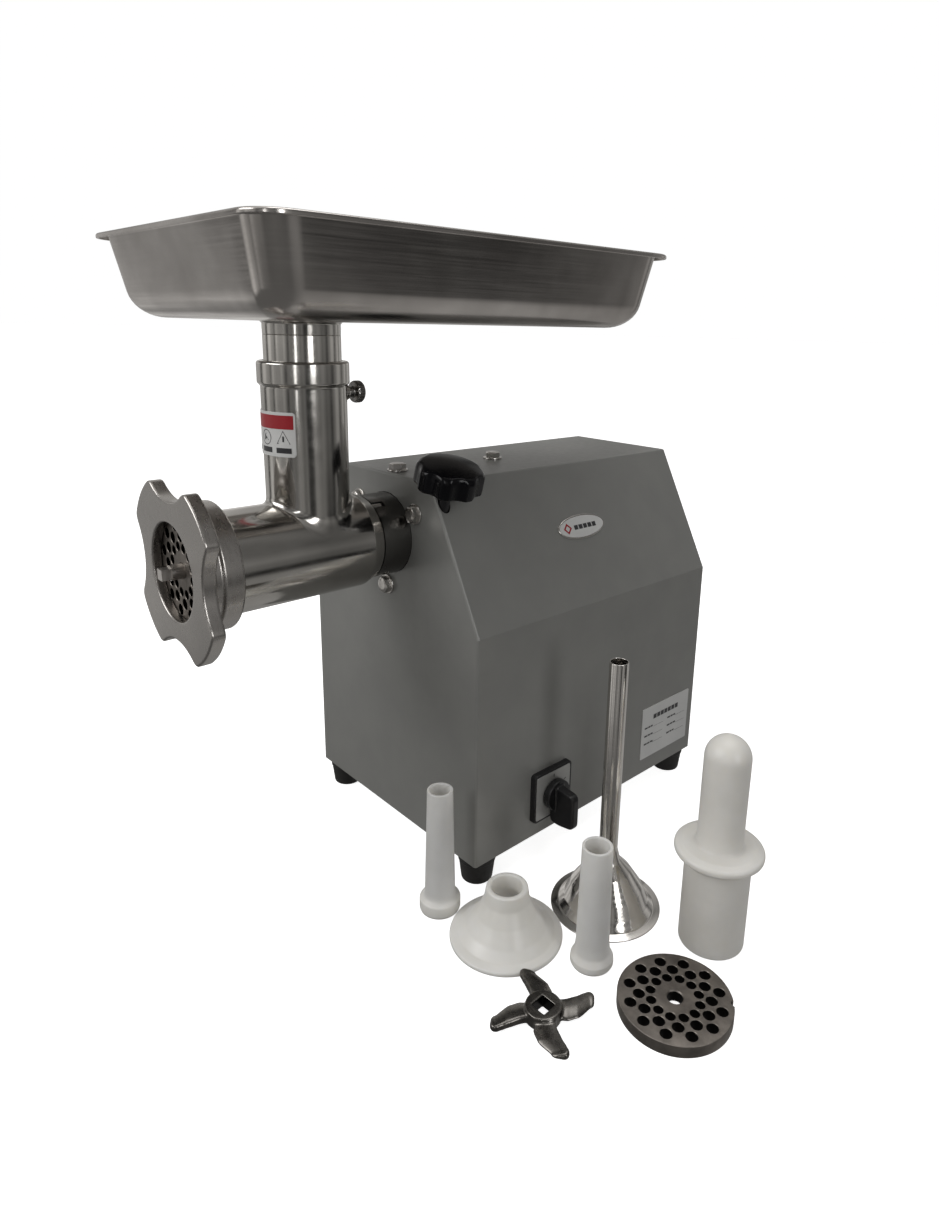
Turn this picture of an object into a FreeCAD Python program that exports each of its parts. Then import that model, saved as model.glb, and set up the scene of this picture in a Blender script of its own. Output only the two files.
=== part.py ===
"""Electric meat grinder, No. 12 size, with its loose accessories.  Millimetres.

Frame: +X towards the switch side, -Y out of the grinding head's mouth, +Z up.  The origin is the
middle of the four feet, on the counter.  Every size that can be set by itself is a cell of the
spreadsheet Sizes; every other length is worked out from those cells.
"""
import FreeCAD, Part, Sketcher
import math
import os
from FreeCAD import Placement, Rotation, Vector

doc = FreeCAD.newDocument("MeatGrinder")
sheet = doc.addObject("Spreadsheet::Sheet", "Sizes")

ALONG_X = Rotation(Vector(0, 1, 0), 90)
ALONG_Y = Rotation(Vector(1, 0, 0), -90)
TO_FRONT = Rotation(Vector(1, 0, 0), 90)
UPSIDE_DOWN = Rotation(Vector(1, 0, 0), 180)


# ---------------------------------------------------------------- sizes that remember their cells

class Size:
    """A length or an angle that keeps its number and the sheet expression it comes from."""

    def __init__(self, text, number):
        self.text = text
        self.number = number

    def __add__(self, other):
        other = as_size(other)
        return Size(f"({self.text} + {other.text})", self.number + other.number)

    def __sub__(self, other):
        other = as_size(other)
        return Size(f"({self.text} - {other.text})", self.number - other.number)

    def __mul__(self, other):
        other = as_size(other)
        return Size(f"({self.text} * {other.text})", self.number * other.number)

    def __truediv__(self, other):
        other = as_size(other)
        return Size(f"({self.text} / {other.text})", self.number / other.number)

    def __rsub__(self, other):
        return as_size(other) - self

    def __neg__(self):
        return Size(f"(-1 * {self.text})", -self.number)

    def __float__(self):
        return self.number

    __radd__ = __add__
    __rmul__ = __mul__


def as_size(thing):
    if isinstance(thing, Size):
        return thing
    return Size(f"({thing})", float(thing))


def cosine(angle):
    angle = as_size(angle)
    return Size(f"cos({angle.text})", math.cos(math.radians(angle.number)))


def sine(angle):
    angle = as_size(angle)
    return Size(f"sin({angle.text})", math.sin(math.radians(angle.number)))


class Sizes:
    """The spreadsheet's cells, each an attribute named by its alias."""


cells = {
    # housing
    "housing_width": 205, "housing_depth": 264, "housing_floor": 20.5, "crease_height": 195.3,
    "housing_top": 293.7, "roof_width": 103, "sheet": 1.2, "bend_radius": 2.0, "floor_lip": 24,
    "base_thickness": 1.5, "base_play": 0.5, "foot_spread_across": 176, "foot_spread_along": 235,
    "foot_radius": 11.5, "foot_top_radius": 14, "foot_recess_radius": 5.5, "foot_recess_depth": 9,
    # gearbox
    "auger_height": 249, "case_half_width": 43, "case_wall": 3, "case_front_wall": 10,
    "case_depth": 62.8, "cover_thickness": 13, "tooth_module_low": 2.0, "tooth_module_high": 1.5,
    "output_teeth": 34, "idler_teeth": 48, "small_teeth": 14, "gear_width": 12,
    "idler_gear_width": 10, "socket_radius": 30, "socket_reach": 22, "socket_floor": 15,
    "spigot_radius": 26, "boss_radius": 32, "seal_radius": 23.5, "seal_width": 7,
    "front_bearing_width": 12, "front_journal": 12.5, "drive_hub_radius": 14,
    "drive_square": 14, "drive_depth": 15, "bearing_radius": 17.5, "bearing_bore": 7.5,
    "bearing_width": 11, "lug_radius": 6, "lug_offset": 47,
    # motor
    "motor_radius": 58, "motor_wall": 4, "motor_length": 100, "flange_radius": 66,
    "stator_length": 63, "stator_bore": 31, "rotor_gap": 0.4, "coil_length": 11,
    "bell_thickness": 12, "fan_radius": 48, "fan_width": 14, "tie_radius": 62,
    "cap_radius": 18, "cap_length": 72,
    # clamp
    "clamp_tilt": 16.5, "clamp_offset": 47.5, "clamp_setback": 6.2, "stud_radius": 4,
    "shoe_radius": 3.5, "knob_radius": 23.5, "knob_height": 18.5, "knob_start": 58.5,
    "knob_lobes": 8,
    # head
    "neck_setback": 63, "barrel_front_radius": 33.5, "barrel_rear_radius": 30,
    "barrel_bore": 26.5, "thread_radius": 38, "neck_radius": 27.3, "neck_bore": 22.5,
    "collar_radius": 29.2, "collar_foot": 359, "neck_top": 373, "chute_seat": 330,
    "head_mouth": 157, "ring_lip": 6.5, "ring_length": 28, "ring_opening": 30.9,
    "ring_skirt_radius": 41, "ring_flange": 9, "ring_lobe_radius": 59.5,
    "ring_scallop_radius": 38, "ring_scallop_floor": 44, "ring_corner": 7,
    "plate_radius": 35, "plate_thickness": 8, "plate_hole": 3.6, "plate_bore": 4.8,
    "knife_inset": 2.6, "knife_thickness": 9, "knife_hub_radius": 10.5, "knife_square": 10,
    "auger_radius": 25.8, "auger_core": 12, "auger_pitch": 34, "flight_thickness": 5,
    "journal_radius": 12, "bush_radius": 15.5, "head_back_wall": 41, "pin_reach": 7,
    "key_radius": 1.9, "pin_radius": 1.95, "pin_angle": 60, "notch_depth": 9, "pin_seat": 7,
    "thumb_height": 352, "thumb_radius": 3,
    # tray
    "tray_length": 321.6, "tray_width": 234, "tray_rim_height": 449.4, "tray_lip": 5,
    "tray_setback": 11.3, "tray_floor": 398, "tray_taper": 11.5, "tray_corner": 32,
    "tray_round": 20, "tray_sheet": 1.0, "chute_radius": 24.5, "chute_wall": 1.2,
    # switch and plates
    "switch_setback": 74.25, "switch_height": 53.6, "switch_width": 40, "switch_frame": 5,
    "switch_knob_radius": 12, "switch_handle": 32, "switch_reach": 24,
    "rating_width": 67, "rating_height": 48, "badge_width": 52, "badge_height": 19,
    "label_thickness": 0.6,
    # fits
    "running_fit": 0.05, "loose_fit": 0.3, "thread_gap": 0.35, "backlash": 0.14,
    # fasteners
    "bolt_radius": 3, "bolt_circle": 39.8, "hex_radius": 6.2, "hex_height": 4.4,
    "washer_radius": 7.5, "washer_thickness": 1.4,
    # accessories
    "pusher_radius": 21.7, "pusher_length": 65, "pusher_flange": 29.2, "pusher_top": 151,
    "pusher_handle": 15, "funnel_rim": 38.7, "funnel_height": 186, "funnel_tube": 6.5,
    "funnel_wall": 0.8, "cone_rim": 38.2, "cone_height": 38, "cone_mouth": 13.9,
    "cone_bore": 10.2, "slim_tube_height": 93, "slim_tube_top": 8.8, "slim_tube_foot": 14.3,
    "flared_tube_height": 86, "flared_tube_top": 9.8, "flared_tube_foot": 14.1,
    "tube_wall": 1.8,
}
for row, (alias, number) in enumerate(cells.items(), start=1):
    sheet.set(f"A{row}", alias)
    sheet.set(f"B{row}", f"{number}")
    sheet.setAlias(f"B{row}", alias)
    setattr(Sizes, alias, Size(f"Sizes.{alias}", float(number)))
doc.recompute()
S = Sizes


# ------------------------------------------------------------------------------ drawing helpers

def bind(thing, **sizes):
    for name, value in sizes.items():
        thing.setExpression(name, as_size(value).text)
    return thing


def place(thing, x=0, y=0, z=0, turn=None):
    spot = [as_size(x), as_size(y), as_size(z)]
    thing.Placement = Placement(Vector(*[float(s) for s in spot]), turn or Rotation())
    for letter, s in zip("xyz", spot):
        thing.setExpression("Placement.Base." + letter, s.text)
    return thing


def cylinder(name, radius, height, x=0, y=0, z=0, turn=None):
    rod = doc.addObject("Part::Cylinder", name)
    bind(rod, Radius=radius, Height=height)
    return place(rod, x, y, z, turn)


def cone(name, radius_low, radius_high, height, x=0, y=0, z=0, turn=None):
    piece = doc.addObject("Part::Cone", name)
    bind(piece, Radius1=radius_low, Radius2=radius_high, Height=height)
    return place(piece, x, y, z, turn)


def box(name, low, high):
    """A box between two opposite corners."""
    block = doc.addObject("Part::Box", name)
    spans = [as_size(b) - a for a, b in zip(low, high)]
    bind(block, Length=spans[0], Width=spans[1], Height=spans[2])
    return place(block, *low)


def hexagon(name, radius, height, x=0, y=0, z=0, turn=None):
    prism = doc.addObject("Part::Prism", name)
    prism.Polygon = 6
    bind(prism, Circumradius=radius, Height=height)
    return place(prism, x, y, z, turn)


def fuse(name, *pieces):
    joined = doc.addObject("Part::MultiFuse", name)
    joined.Shapes = list(pieces)
    joined.Refine = True
    return joined


def cut(name, base, *tools):
    left = doc.addObject("Part::Cut", name)
    left.Base = base
    left.Tool = tools[0] if len(tools) == 1 else fuse(name + "_tools", *tools)
    return left


def group(name, pieces):
    """Separate solids that share one node."""
    together = doc.addObject("Part::Compound", name)
    together.Links = list(pieces)
    return together


def origin_plane(body, role):
    return [f for f in body.Origin.OriginFeatures if f.Role == role][0]


def new_sketch(body, role, lift=0):
    sketch = body.newObject("Sketcher::SketchObject", body.Name + "_sketch")
    sketch.AttachmentSupport = (origin_plane(body, role), [""])
    sketch.MapMode = "FlatFace"
    sketch.setExpression("AttachmentOffset.Base.z", as_size(lift).text)
    return sketch


def pin_point(sketch, edge, end, across, along):
    """Fixes one end of a sketch edge at two sheet lengths from the sketch's origin."""
    for kind, value in (("DistanceX", across), ("DistanceY", along)):
        value = as_size(value)
        index = sketch.addConstraint(kind_of_distance(kind, edge, end, float(value)))
        sketch.setExpression(f"Constraints[{index}]", value.text)


def kind_of_distance(kind, edge, end, number):
    return Sketcher.Constraint(kind, -1, 1, edge, end, number)


def outline(sketch, corners):
    """A closed polygon whose corners are sheet lengths."""
    spots = [Vector(float(as_size(a)), float(as_size(b)), 0) for a, b in corners]
    first = sketch.GeometryCount
    count = len(spots)
    for i in range(count):
        sketch.addGeometry(Part.LineSegment(spots[i], spots[(i + 1) % count]))
    for i in range(count):
        nearby = first + (i + 1) % count
        sketch.addConstraint(Sketcher.Constraint("Coincident", first + i, 2, nearby, 1))
    for i, (across, along) in enumerate(corners):
        pin_point(sketch, first + i, 1, across, along)
    return sketch


def circle(sketch, radius, across=0, along=0):
    middle = Vector(float(as_size(across)), float(as_size(along)), 0)
    edge = sketch.addGeometry(Part.Circle(middle, Vector(0, 0, 1), float(as_size(radius))))
    index = sketch.addConstraint(Sketcher.Constraint("Radius", edge, float(as_size(radius))))
    sketch.setExpression(f"Constraints[{index}]", as_size(radius).text)
    pin_point(sketch, edge, 3, across, along)
    return sketch


def new_body(name):
    return doc.addObject("PartDesign::Body", name)


def pad(body, sketch, length, midplane=False, reverse=False, taper=None):
    feature = body.newObject("PartDesign::Pad", body.Name + "_pad")
    feature.Profile = sketch
    feature.setExpression("Length", as_size(length).text)
    feature.Midplane = midplane
    feature.Reversed = reverse
    if taper is not None:
        feature.setExpression("TaperAngle", as_size(taper).text)
    return feature


def pocket(body, sketch, length=None, midplane=False, reverse=False):
    feature = body.newObject("PartDesign::Pocket", body.Name + "_pocket")
    feature.Profile = sketch
    if length is None:
        feature.Type = "ThroughAll"
    else:
        feature.setExpression("Length", as_size(length).text)
    feature.Midplane = midplane
    feature.Reversed = reverse
    return feature


def around(body, feature, sketch, count):
    """Repeats a feature round the normal of its sketch."""
    pattern = body.newObject("PartDesign::PolarPattern", body.Name + "_ring")
    pattern.Originals = [feature]
    pattern.Axis = (sketch, ["N_Axis"])
    pattern.Angle = 360
    pattern.setExpression("Occurrences", as_size(count).text)
    body.Tip = pattern
    return pattern


def turned(name, corners, x=0, y=0, z=0, turn=None):
    """A body of revolution about its own upright axis, from (radius, height) corners."""
    body = new_body(name)
    profile = outline(new_sketch(body, "XZ_Plane"), corners)
    spin = body.newObject("PartDesign::Revolution", name + "_spin")
    spin.Profile = profile
    spin.ReferenceAxis = (profile, ["V_Axis"])
    spin.Angle = 360
    return place(body, x, y, z, turn)


def round_edges(body, radius, wanted):
    """Fillets the edges of the body's last feature for which wanted(edge) holds."""
    doc.recompute()
    last = body.Tip
    names = [f"Edge{i}" for i, e in enumerate(last.Shape.Edges, start=1) if wanted(e)]
    feature = body.newObject("PartDesign::Fillet", body.Name + "_round")
    feature.Base = (last, names)
    feature.setExpression("Radius", as_size(radius).text)
    body.Tip = feature
    return feature


def tube(name, outer, inner, length, x=0, y=0, z=0, turn=None):
    """A plain ring or sleeve."""
    return turned(name, [(inner, 0), (outer, 0), (outer, length), (inner, length)], x, y, z, turn)


nodes = {}


def node(name, thing):
    """Registers a finished sub-part under the name of its file."""
    thing.Label = name
    nodes[name] = thing
    return thing


# -------------------------------------------------------------------------------- shared places

FRONT = -S.housing_depth / 2
BACK = S.housing_depth / 2
SIDE = S.housing_width / 2
INNER_FRONT = FRONT + S.sheet
ROOF_INNER = S.housing_top - S.sheet
IDLER_HEIGHT = S.auger_height - (S.output_teeth + S.small_teeth) * S.tooth_module_low / 2
MOTOR_HEIGHT = IDLER_HEIGHT - (S.idler_teeth + S.small_teeth) * S.tooth_module_high / 2
CASE_BACK = INNER_FRONT + S.case_depth
COVER_BACK = CASE_BACK + S.cover_thickness
SOCKET_MOUTH = FRONT - S.socket_reach
SOCKET_FLOOR = FRONT + S.socket_floor
SEAL_BACK = SOCKET_FLOOR + S.seal_width
BEARING_BACK = SEAL_BACK + S.front_bearing_width
BOSS_BACK = BEARING_BACK
NECK_Y = FRONT - S.neck_setback
RING_FACE = FRONT - S.head_mouth
PLATE_FACE = RING_FACE + S.ring_lip
PLATE_BACK = PLATE_FACE + S.plate_thickness
RING_BACK = RING_FACE + S.ring_length
KNIFE_BACK = PLATE_BACK + S.knife_thickness
KNIFE_RADIUS = S.plate_radius - S.knife_inset
AUGER_FACE = KNIFE_BACK + 1
HEAD_END = SOCKET_FLOOR - 2.5
HEAD_INNER_END = HEAD_END - S.head_back_wall
CLAMP_Y = FRONT + S.clamp_setback
PIN_START = SOCKET_MOUTH - 0.4 - S.pin_seat
SLOPE_RUN = SIDE - S.roof_width / 2
SLOPE_RISE = S.housing_top - S.crease_height
SLOPE_TILT = math.degrees(math.atan2(float(SLOPE_RUN), float(SLOPE_RISE)))


def slope_across(height):
    """How far out the sloping side is at a height."""
    return SIDE - (height - S.crease_height) * SLOPE_RUN / SLOPE_RISE


# ------------------------------------------------------------------------------ gear outlines

PRESSURE = 25


def involute(base, radius):
    """The involute's turning angle, in radians, where it reaches a radius."""
    ratio = max(radius / base, 1.0)
    return math.sqrt(ratio * ratio - 1) - math.acos(1 / ratio)


def gear_face(module, teeth, bore, phase):
    """A spur gear's outline, flat in the XY plane, with a tooth centred at the phase angle."""
    pitch = module * teeth / 2
    base = pitch * math.cos(math.radians(PRESSURE))
    tip = pitch + 0.95 * module
    root = pitch - 1.2 * module
    half_tooth = (math.pi * module / 2 - float(S.backlash)) / 2 / pitch

    def flank(radius, side, middle):
        turn = half_tooth + involute(base, pitch) - involute(base, radius)
        angle = middle + side * turn
        return Vector(radius * math.cos(angle), radius * math.sin(angle), 0)

    low = max(root, base)
    between = (low + tip) / 2
    edges = []
    previous = None
    first = None
    for k in range(teeth):
        middle = math.radians(phase) + 2 * math.pi * k / teeth
        foot = flank(low, -1, middle)
        start = Vector(foot)
        if root < base:
            start.multiply(root / base)
        if previous is None:
            first = start
        else:
            edges.append(Part.LineSegment(previous, start).toShape())
        if root < base:
            edges.append(Part.LineSegment(start, foot).toShape())
        rise = Part.Arc(foot, flank(between, -1, middle), flank(tip, -1, middle))
        top = Vector(tip * math.cos(middle), tip * math.sin(middle), 0)
        crown = Part.Arc(flank(tip, -1, middle), top, flank(tip, 1, middle))
        fall = Part.Arc(flank(tip, 1, middle), flank(between, 1, middle), flank(low, 1, middle))
        edges += [rise.toShape(), crown.toShape(), fall.toShape()]
        previous = flank(low, 1, middle)
        if root < base:
            bottom = Vector(previous).multiply(root / base)
            edges.append(Part.LineSegment(previous, bottom).toShape())
            previous = bottom
    edges.append(Part.LineSegment(previous, first).toShape())
    rim = Part.Wire(edges)
    if not bore:
        return Part.Face(rim)
    hole = Part.Wire(Part.makeCircle(bore))
    return Part.Face(rim).cut(Part.Face(hole))


def gear(name, module, teeth, bore, width, height, y, phase):
    """A spur gear on an axis along Y.  The sheet's sizes are read here, before it is placed."""
    face = gear_face(float(module), int(float(teeth)), float(bore), phase)
    solid = face.extrude(Vector(0, 0, float(as_size(width))))
    wheel = doc.addObject("Part::Feature", name)
    wheel.Shape = solid
    return place(wheel, 0, y, height, ALONG_Y)


# -------------------------------------------------------------------------------- housing

def housing_shell():
    profile = [
        (-SIDE, S.housing_floor), (SIDE, S.housing_floor), (SIDE, S.crease_height),
        (S.roof_width / 2, S.housing_top), (-S.roof_width / 2, S.housing_top),
        (-SIDE, S.crease_height),
    ]
    body = new_body("housing_form")
    pad(body, outline(new_sketch(body, "XZ_Plane"), profile), S.housing_depth, midplane=True)

    def not_the_floor(edge):
        return edge.BoundBox.ZMax > float(S.housing_floor) + 1

    round_edges(body, S.bend_radius, not_the_floor)
    inner_side = SIDE - S.sheet
    shoulder = S.crease_height - S.sheet * 0.25
    inner_roof = S.roof_width / 2 - S.sheet * 0.6
    cavity = [
        (-inner_side, S.housing_floor + S.sheet), (inner_side, S.housing_floor + S.sheet),
        (inner_side, shoulder), (inner_roof, ROOF_INNER), (-inner_roof, ROOF_INNER),
        (-inner_side, shoulder),
    ]
    hollow = outline(new_sketch(body, "XZ_Plane"), cavity)
    pocket(body, hollow, S.housing_depth - S.sheet * 2, midplane=True)
    doc.recompute()

    mouth_x = SIDE - S.floor_lip
    mouth_y = BACK - S.floor_lip
    below = S.housing_floor - 1
    tools = [
        box("floor_mouth", (-mouth_x, -mouth_y, below), (mouth_x, mouth_y, below + 4)),
        cylinder("socket_hole", S.socket_radius + S.loose_fit, 6, 0, FRONT - 2, S.auger_height, ALONG_Y),
        cylinder("gland_hole", 6.2, 6, 55, BACK - 4, 60, ALONG_Y),
        cylinder("switch_hole", 10, 6, SIDE - 4, switch_y(), S.switch_height, ALONG_X),
    ]
    for i, (x, z) in enumerate(front_bolt_spots()):
        hole = S.bolt_radius + S.loose_fit
        tools.append(cylinder(f"front_hole{i}", hole, 6, x, FRONT - 2, z, ALONG_Y))
    for i, y in enumerate(top_bolt_spots()):
        hole = S.bolt_radius + S.loose_fit
        tools.append(cylinder(f"top_hole{i}", hole, 6, 0, y, S.housing_top - 3))
    for i, (x, y) in enumerate(foot_spots()):
        tools.append(cylinder(f"foot_hole{i}", 2.7, 6, x, y, S.housing_floor - 2))
    tools.append(clamp_rod("stud_slot", S.stud_radius + 0.8, 30, 30))
    for i in range(9):
        height = 80 + 12 * i
        tools.append(box(f"vent{i}", (-60, BACK - 4, height), (25, BACK + 2, height + 3.5)))
    return cut("housing", body, *tools)


def switch_y():
    return FRONT + S.switch_setback


def front_bolt_spots():
    """Three bolts round the drive axis, at 30, 150 and 270 degrees."""
    return [
        (S.bolt_circle * cosine(a), S.auger_height + S.bolt_circle * sine(a)) for a in (30, 150, 270)
    ]


def top_bolt_spots():
    return [FRONT + 10, FRONT + 103]


def foot_spots():
    across = S.foot_spread_across / 2
    along = S.foot_spread_along / 2
    return [(sx * across, sy * along) for sx in (-1, 1) for sy in (-1, 1)]


def clamp_spot(along):
    """A point on the clamp screw's axis, which passes beside the socket and leans outwards."""
    across = S.clamp_offset * cosine(S.clamp_tilt) + along * sine(S.clamp_tilt)
    height = S.auger_height - S.clamp_offset * sine(S.clamp_tilt) + along * cosine(S.clamp_tilt)
    return across, CLAMP_Y, height


def clamp_turn():
    return Rotation(Vector(0, 1, 0), float(S.clamp_tilt))


def clamp_rod(name, radius, start, length):
    """A cylinder on the clamp screw's axis, measured from its nearest point to the drive axis."""
    return cylinder(name, radius, length, *clamp_spot(as_size(start)), clamp_turn())


def shoe_rod(name, radius, start, length):
    """A cylinder that points from the drive axis straight at the clamp screw."""
    start = as_size(start)
    turn = Rotation(Vector(0, 1, 0), 90 + float(S.clamp_tilt))
    across = start * cosine(S.clamp_tilt)
    height = S.auger_height - start * sine(S.clamp_tilt)
    return cylinder(name, radius, length, across, CLAMP_Y, height, turn)


def base_plate():
    gap = S.sheet + S.base_play
    low = S.housing_floor + S.sheet
    plate = box("base", (-(SIDE - gap), FRONT + gap, low), (SIDE - gap, BACK - gap, low + S.base_thickness))
    holes = [cylinder(f"base_hole{i}", 2.7, 8, x, y, low - 2) for i, (x, y) in enumerate(foot_spots())]
    for i in range(7):
        y = FRONT + 110 + 14 * i
        holes.append(box(f"base_vent{i}", (-20, y, low - 2), (60, y + 5, low + 5)))
    return cut("base", plate, *holes)


def rubber_feet():
    feet = []
    for i, (x, y) in enumerate(foot_spots()):
        block = cone(f"foot_form{i}", S.foot_radius, S.foot_top_radius, S.housing_floor, x, y, 0)
        recess = cylinder(f"foot_recess{i}", S.foot_recess_radius, S.foot_recess_depth + 1, x, y, -1)
        hole = cylinder(f"foot_bore{i}", 2.6, S.housing_floor + 2, x, y, -1)
        feet.append(cut(f"foot{i}", block, recess, hole))
    return group("feet", feet)


def foot_screws():
    screws = []
    head_z = S.foot_recess_depth - 3
    for i, (x, y) in enumerate(foot_spots()):
        head = cylinder(f"foot_screw_head{i}", 4.6, 3, x, y, head_z)
        shank = cylinder(f"foot_screw_shank{i}", 2.4, 22, x, y, head_z)
        nut = hexagon(f"foot_nut{i}", 4.6, 3.5, x, y, S.housing_floor + S.sheet + S.base_thickness)
        screws.append(fuse(f"foot_screw{i}", head, shank, nut))
    return group("screws_of_feet", screws)


def hex_bolt(name, length, x, y, z, turn):
    """A hexagon-headed bolt whose washer sits on (x, y, z), pointing away along the turn."""
    rise = turn.multVec(Vector(0, 0, 1))
    back = turn.multiply(UPSIDE_DOWN)
    lift = S.washer_thickness
    seat = [x + rise.x * lift, y + rise.y * lift, z + rise.z * lift]
    head = hexagon(name + "_head", S.hex_radius, S.hex_height, *seat, turn)
    shank = cylinder(name + "_shank", S.bolt_radius, length, *seat, back)
    return fuse(name, head, shank)


def bolts_and_washers():
    front = []
    washers = []
    for i, (x, z) in enumerate(front_bolt_spots()):
        front.append(hex_bolt(f"front_bolt{i}", 8, x, FRONT, z, TO_FRONT))
        washers.append(washer(f"front_washer{i}", x, FRONT, z, TO_FRONT))
    top = []
    for i, y in enumerate(top_bolt_spots()):
        top.append(hex_bolt(f"top_bolt{i}", 8, as_size(0), y, S.housing_top, Rotation()))
        washers.append(washer(f"top_washer{i}", 0, y, S.housing_top, Rotation()))
    return group("front_set", front), group("top_set", top), group("washer_set", washers)


def washer(name, x, y, z, turn):
    bore = S.bolt_radius + S.loose_fit / 2
    return tube(name, S.washer_radius, bore, S.washer_thickness, x, y, z, turn)


def cable_gland():
    flange = cylinder("gland_flange", 10, 3, 55, BACK, 60, ALONG_Y)
    dome = cone("gland_dome", 8.5, 6.5, 10, 55, BACK + 3, 60, ALONG_Y)
    stem = cylinder("gland_stem", 6, 10, 55, BACK - 10, 60, ALONG_Y)
    bore = cylinder("gland_bore", 3.6, 30, 55, BACK - 13, 60, ALONG_Y)
    return cut("gland", fuse("gland_solid", flange, dome, stem), bore)


# -------------------------------------------------------------------------------- gearbox

def slot_form(name, half_width, y, depth):
    """A block with round ends that reaches from the motor axis up to the drive axis."""
    middle = box(name + "_middle", (-half_width, y, MOTOR_HEIGHT), (half_width, y + depth, S.auger_height))
    top = cylinder(name + "_top", half_width, depth, 0, y, S.auger_height, ALONG_Y)
    foot = cylinder(name + "_foot", half_width, depth, 0, y, MOTOR_HEIGHT, ALONG_Y)
    return fuse(name, middle, top, foot)


def lug_spots():
    return [(side * S.lug_offset, z) for side in (-1, 1) for z in (S.auger_height - 14, IDLER_HEIGHT - 3)]


def gearbox_case():
    half = as_size(S.case_half_width)
    outside = slot_form("case_outside", half, INNER_FRONT, S.case_depth)
    cavity_y = INNER_FRONT + S.case_front_wall
    cavity = slot_form("case_cavity", half - S.case_wall, cavity_y, S.case_depth)
    boss = cylinder("case_boss", S.boss_radius, BOSS_BACK - INNER_FRONT, 0, INNER_FRONT, S.auger_height,
                    ALONG_Y)
    socket = cylinder("socket_tube", S.socket_radius, S.socket_reach + 2, 0, SOCKET_MOUTH,
                      S.auger_height, ALONG_Y)
    seat_reach = S.bearing_width + 4
    idler_boss = cylinder("idler_boss", S.bearing_radius + 4, seat_reach + 4, 0, cavity_y - 4,
                          IDLER_HEIGHT, ALONG_Y)
    clamp_lug = clamp_rod("clamp_lug", S.stud_radius + 4, -12, 24)
    pad_top = cylinder("top_pad", 7, ROOF_INNER - S.auger_height - 30, 0, top_bolt_spots()[0],
                       S.auger_height + 30)
    hollow = cut("case_hollow", outside, cavity)
    lugs = [case_lug(i, x, z, CASE_BACK - 24, 24) for i, (x, z) in enumerate(lug_spots())]
    solid = fuse("case_solid", hollow, boss, socket, idler_boss, clamp_lug, pad_top, *lugs)
    bearing_y = BEARING_BACK - S.front_bearing_width
    spigot_bore = S.spigot_radius + 0.1
    tools = [
        cylinder("socket_bore", spigot_bore, SOCKET_FLOOR - SOCKET_MOUTH + 2, 0, SOCKET_MOUTH - 2,
                 S.auger_height, ALONG_Y),
        cylinder("seal_bore", S.seal_radius, SEAL_BACK - SOCKET_FLOOR + 2, 0, SOCKET_FLOOR - 1,
                 S.auger_height, ALONG_Y),
        cylinder("bearing_seat", S.seal_radius, S.front_bearing_width + 2, 0, bearing_y - 1,
                 S.auger_height, ALONG_Y),
        cylinder("idler_seat", S.bearing_radius, 40, 0, cavity_y, IDLER_HEIGHT, ALONG_Y),
        clamp_rod("stud_bore", S.stud_radius + S.loose_fit, -14, 40),
        shoe_rod("shoe_bore", S.shoe_radius + 0.1, S.spigot_radius - 4,
                 S.clamp_offset - S.spigot_radius + 4),
        notch_tool(),
        box("lug_trim", (S.socket_radius + 1, FRONT - 20, S.auger_height - 50),
            (90, INNER_FRONT, S.auger_height + 20)),
        cylinder("top_thread", S.bolt_radius + 0.1, 12, 0, top_bolt_spots()[0], ROOF_INNER - 10),
    ]
    for i, (x, z) in enumerate(front_bolt_spots()):
        tools.append(cylinder(f"front_thread{i}", S.bolt_radius + 0.1, 8.5, x, FRONT - 1, z, ALONG_Y))
    for i, (x, z) in enumerate(lug_spots()):
        tools.append(cylinder(f"lug_thread{i}", 2.1, 16, x, CASE_BACK - 14, z, ALONG_Y))
    return cut("case", solid, *tools)


def notch_tool():
    """The slot in the socket's mouth that stops the head from turning."""
    width = 2 * S.pin_radius + 1.2
    near = S.spigot_radius - 2
    slot = doc.addObject("Part::Box", "notch")
    bind(slot, Length=12, Width=S.notch_depth + 1, Height=width)
    across = near * cosine(S.pin_angle) + width / 2 * sine(S.pin_angle)
    height = S.auger_height + near * sine(S.pin_angle) - width / 2 * cosine(S.pin_angle)
    return place(slot, across, SOCKET_MOUTH - 1, height, Rotation(Vector(0, 1, 0), -float(S.pin_angle)))


def case_lug(i, x, z, y, length):
    return cylinder(f"lug{i}", S.lug_radius, length, x, y, z, ALONG_Y)


def gearbox_cover():
    """The rear wall of the gearbox, which is also the motor's front end bell."""
    half = as_size(S.case_half_width)
    plate = slot_form("cover_plate", half, CASE_BACK, S.cover_thickness)
    flange = cylinder("cover_flange", S.flange_radius, S.cover_thickness, 0, CASE_BACK, MOTOR_HEIGHT,
                      ALONG_Y)
    lugs = [case_lug(f"_cover{i}", x, z, CASE_BACK, S.cover_thickness) for i,
            (x, z) in enumerate(lug_spots())]
    solid = fuse("cover_solid", plate, flange, *lugs)
    tools = []
    for name, z in (("out", S.auger_height), ("idle", IDLER_HEIGHT), ("motor", MOTOR_HEIGHT)):
        tools.append(cylinder("seat_" + name, S.bearing_radius, S.bearing_width + 2, 0, CASE_BACK - 2,
                              z, ALONG_Y))
    tools.append(cylinder("motor_pass", S.bearing_bore + 0.8, 30, 0, CASE_BACK, MOTOR_HEIGHT, ALONG_Y))
    for i, (x, z) in enumerate(lug_spots()):
        tools.append(cylinder(f"cover_hole{i}", 2.7, 30, x, CASE_BACK - 4, z, ALONG_Y))
    for i, (x, z) in enumerate(tie_spots()):
        tools.append(cylinder(f"tie_thread{i}", 2.2, 10, x, COVER_BACK - 9, z, ALONG_Y))
    return cut("cover", solid, *tools)


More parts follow.
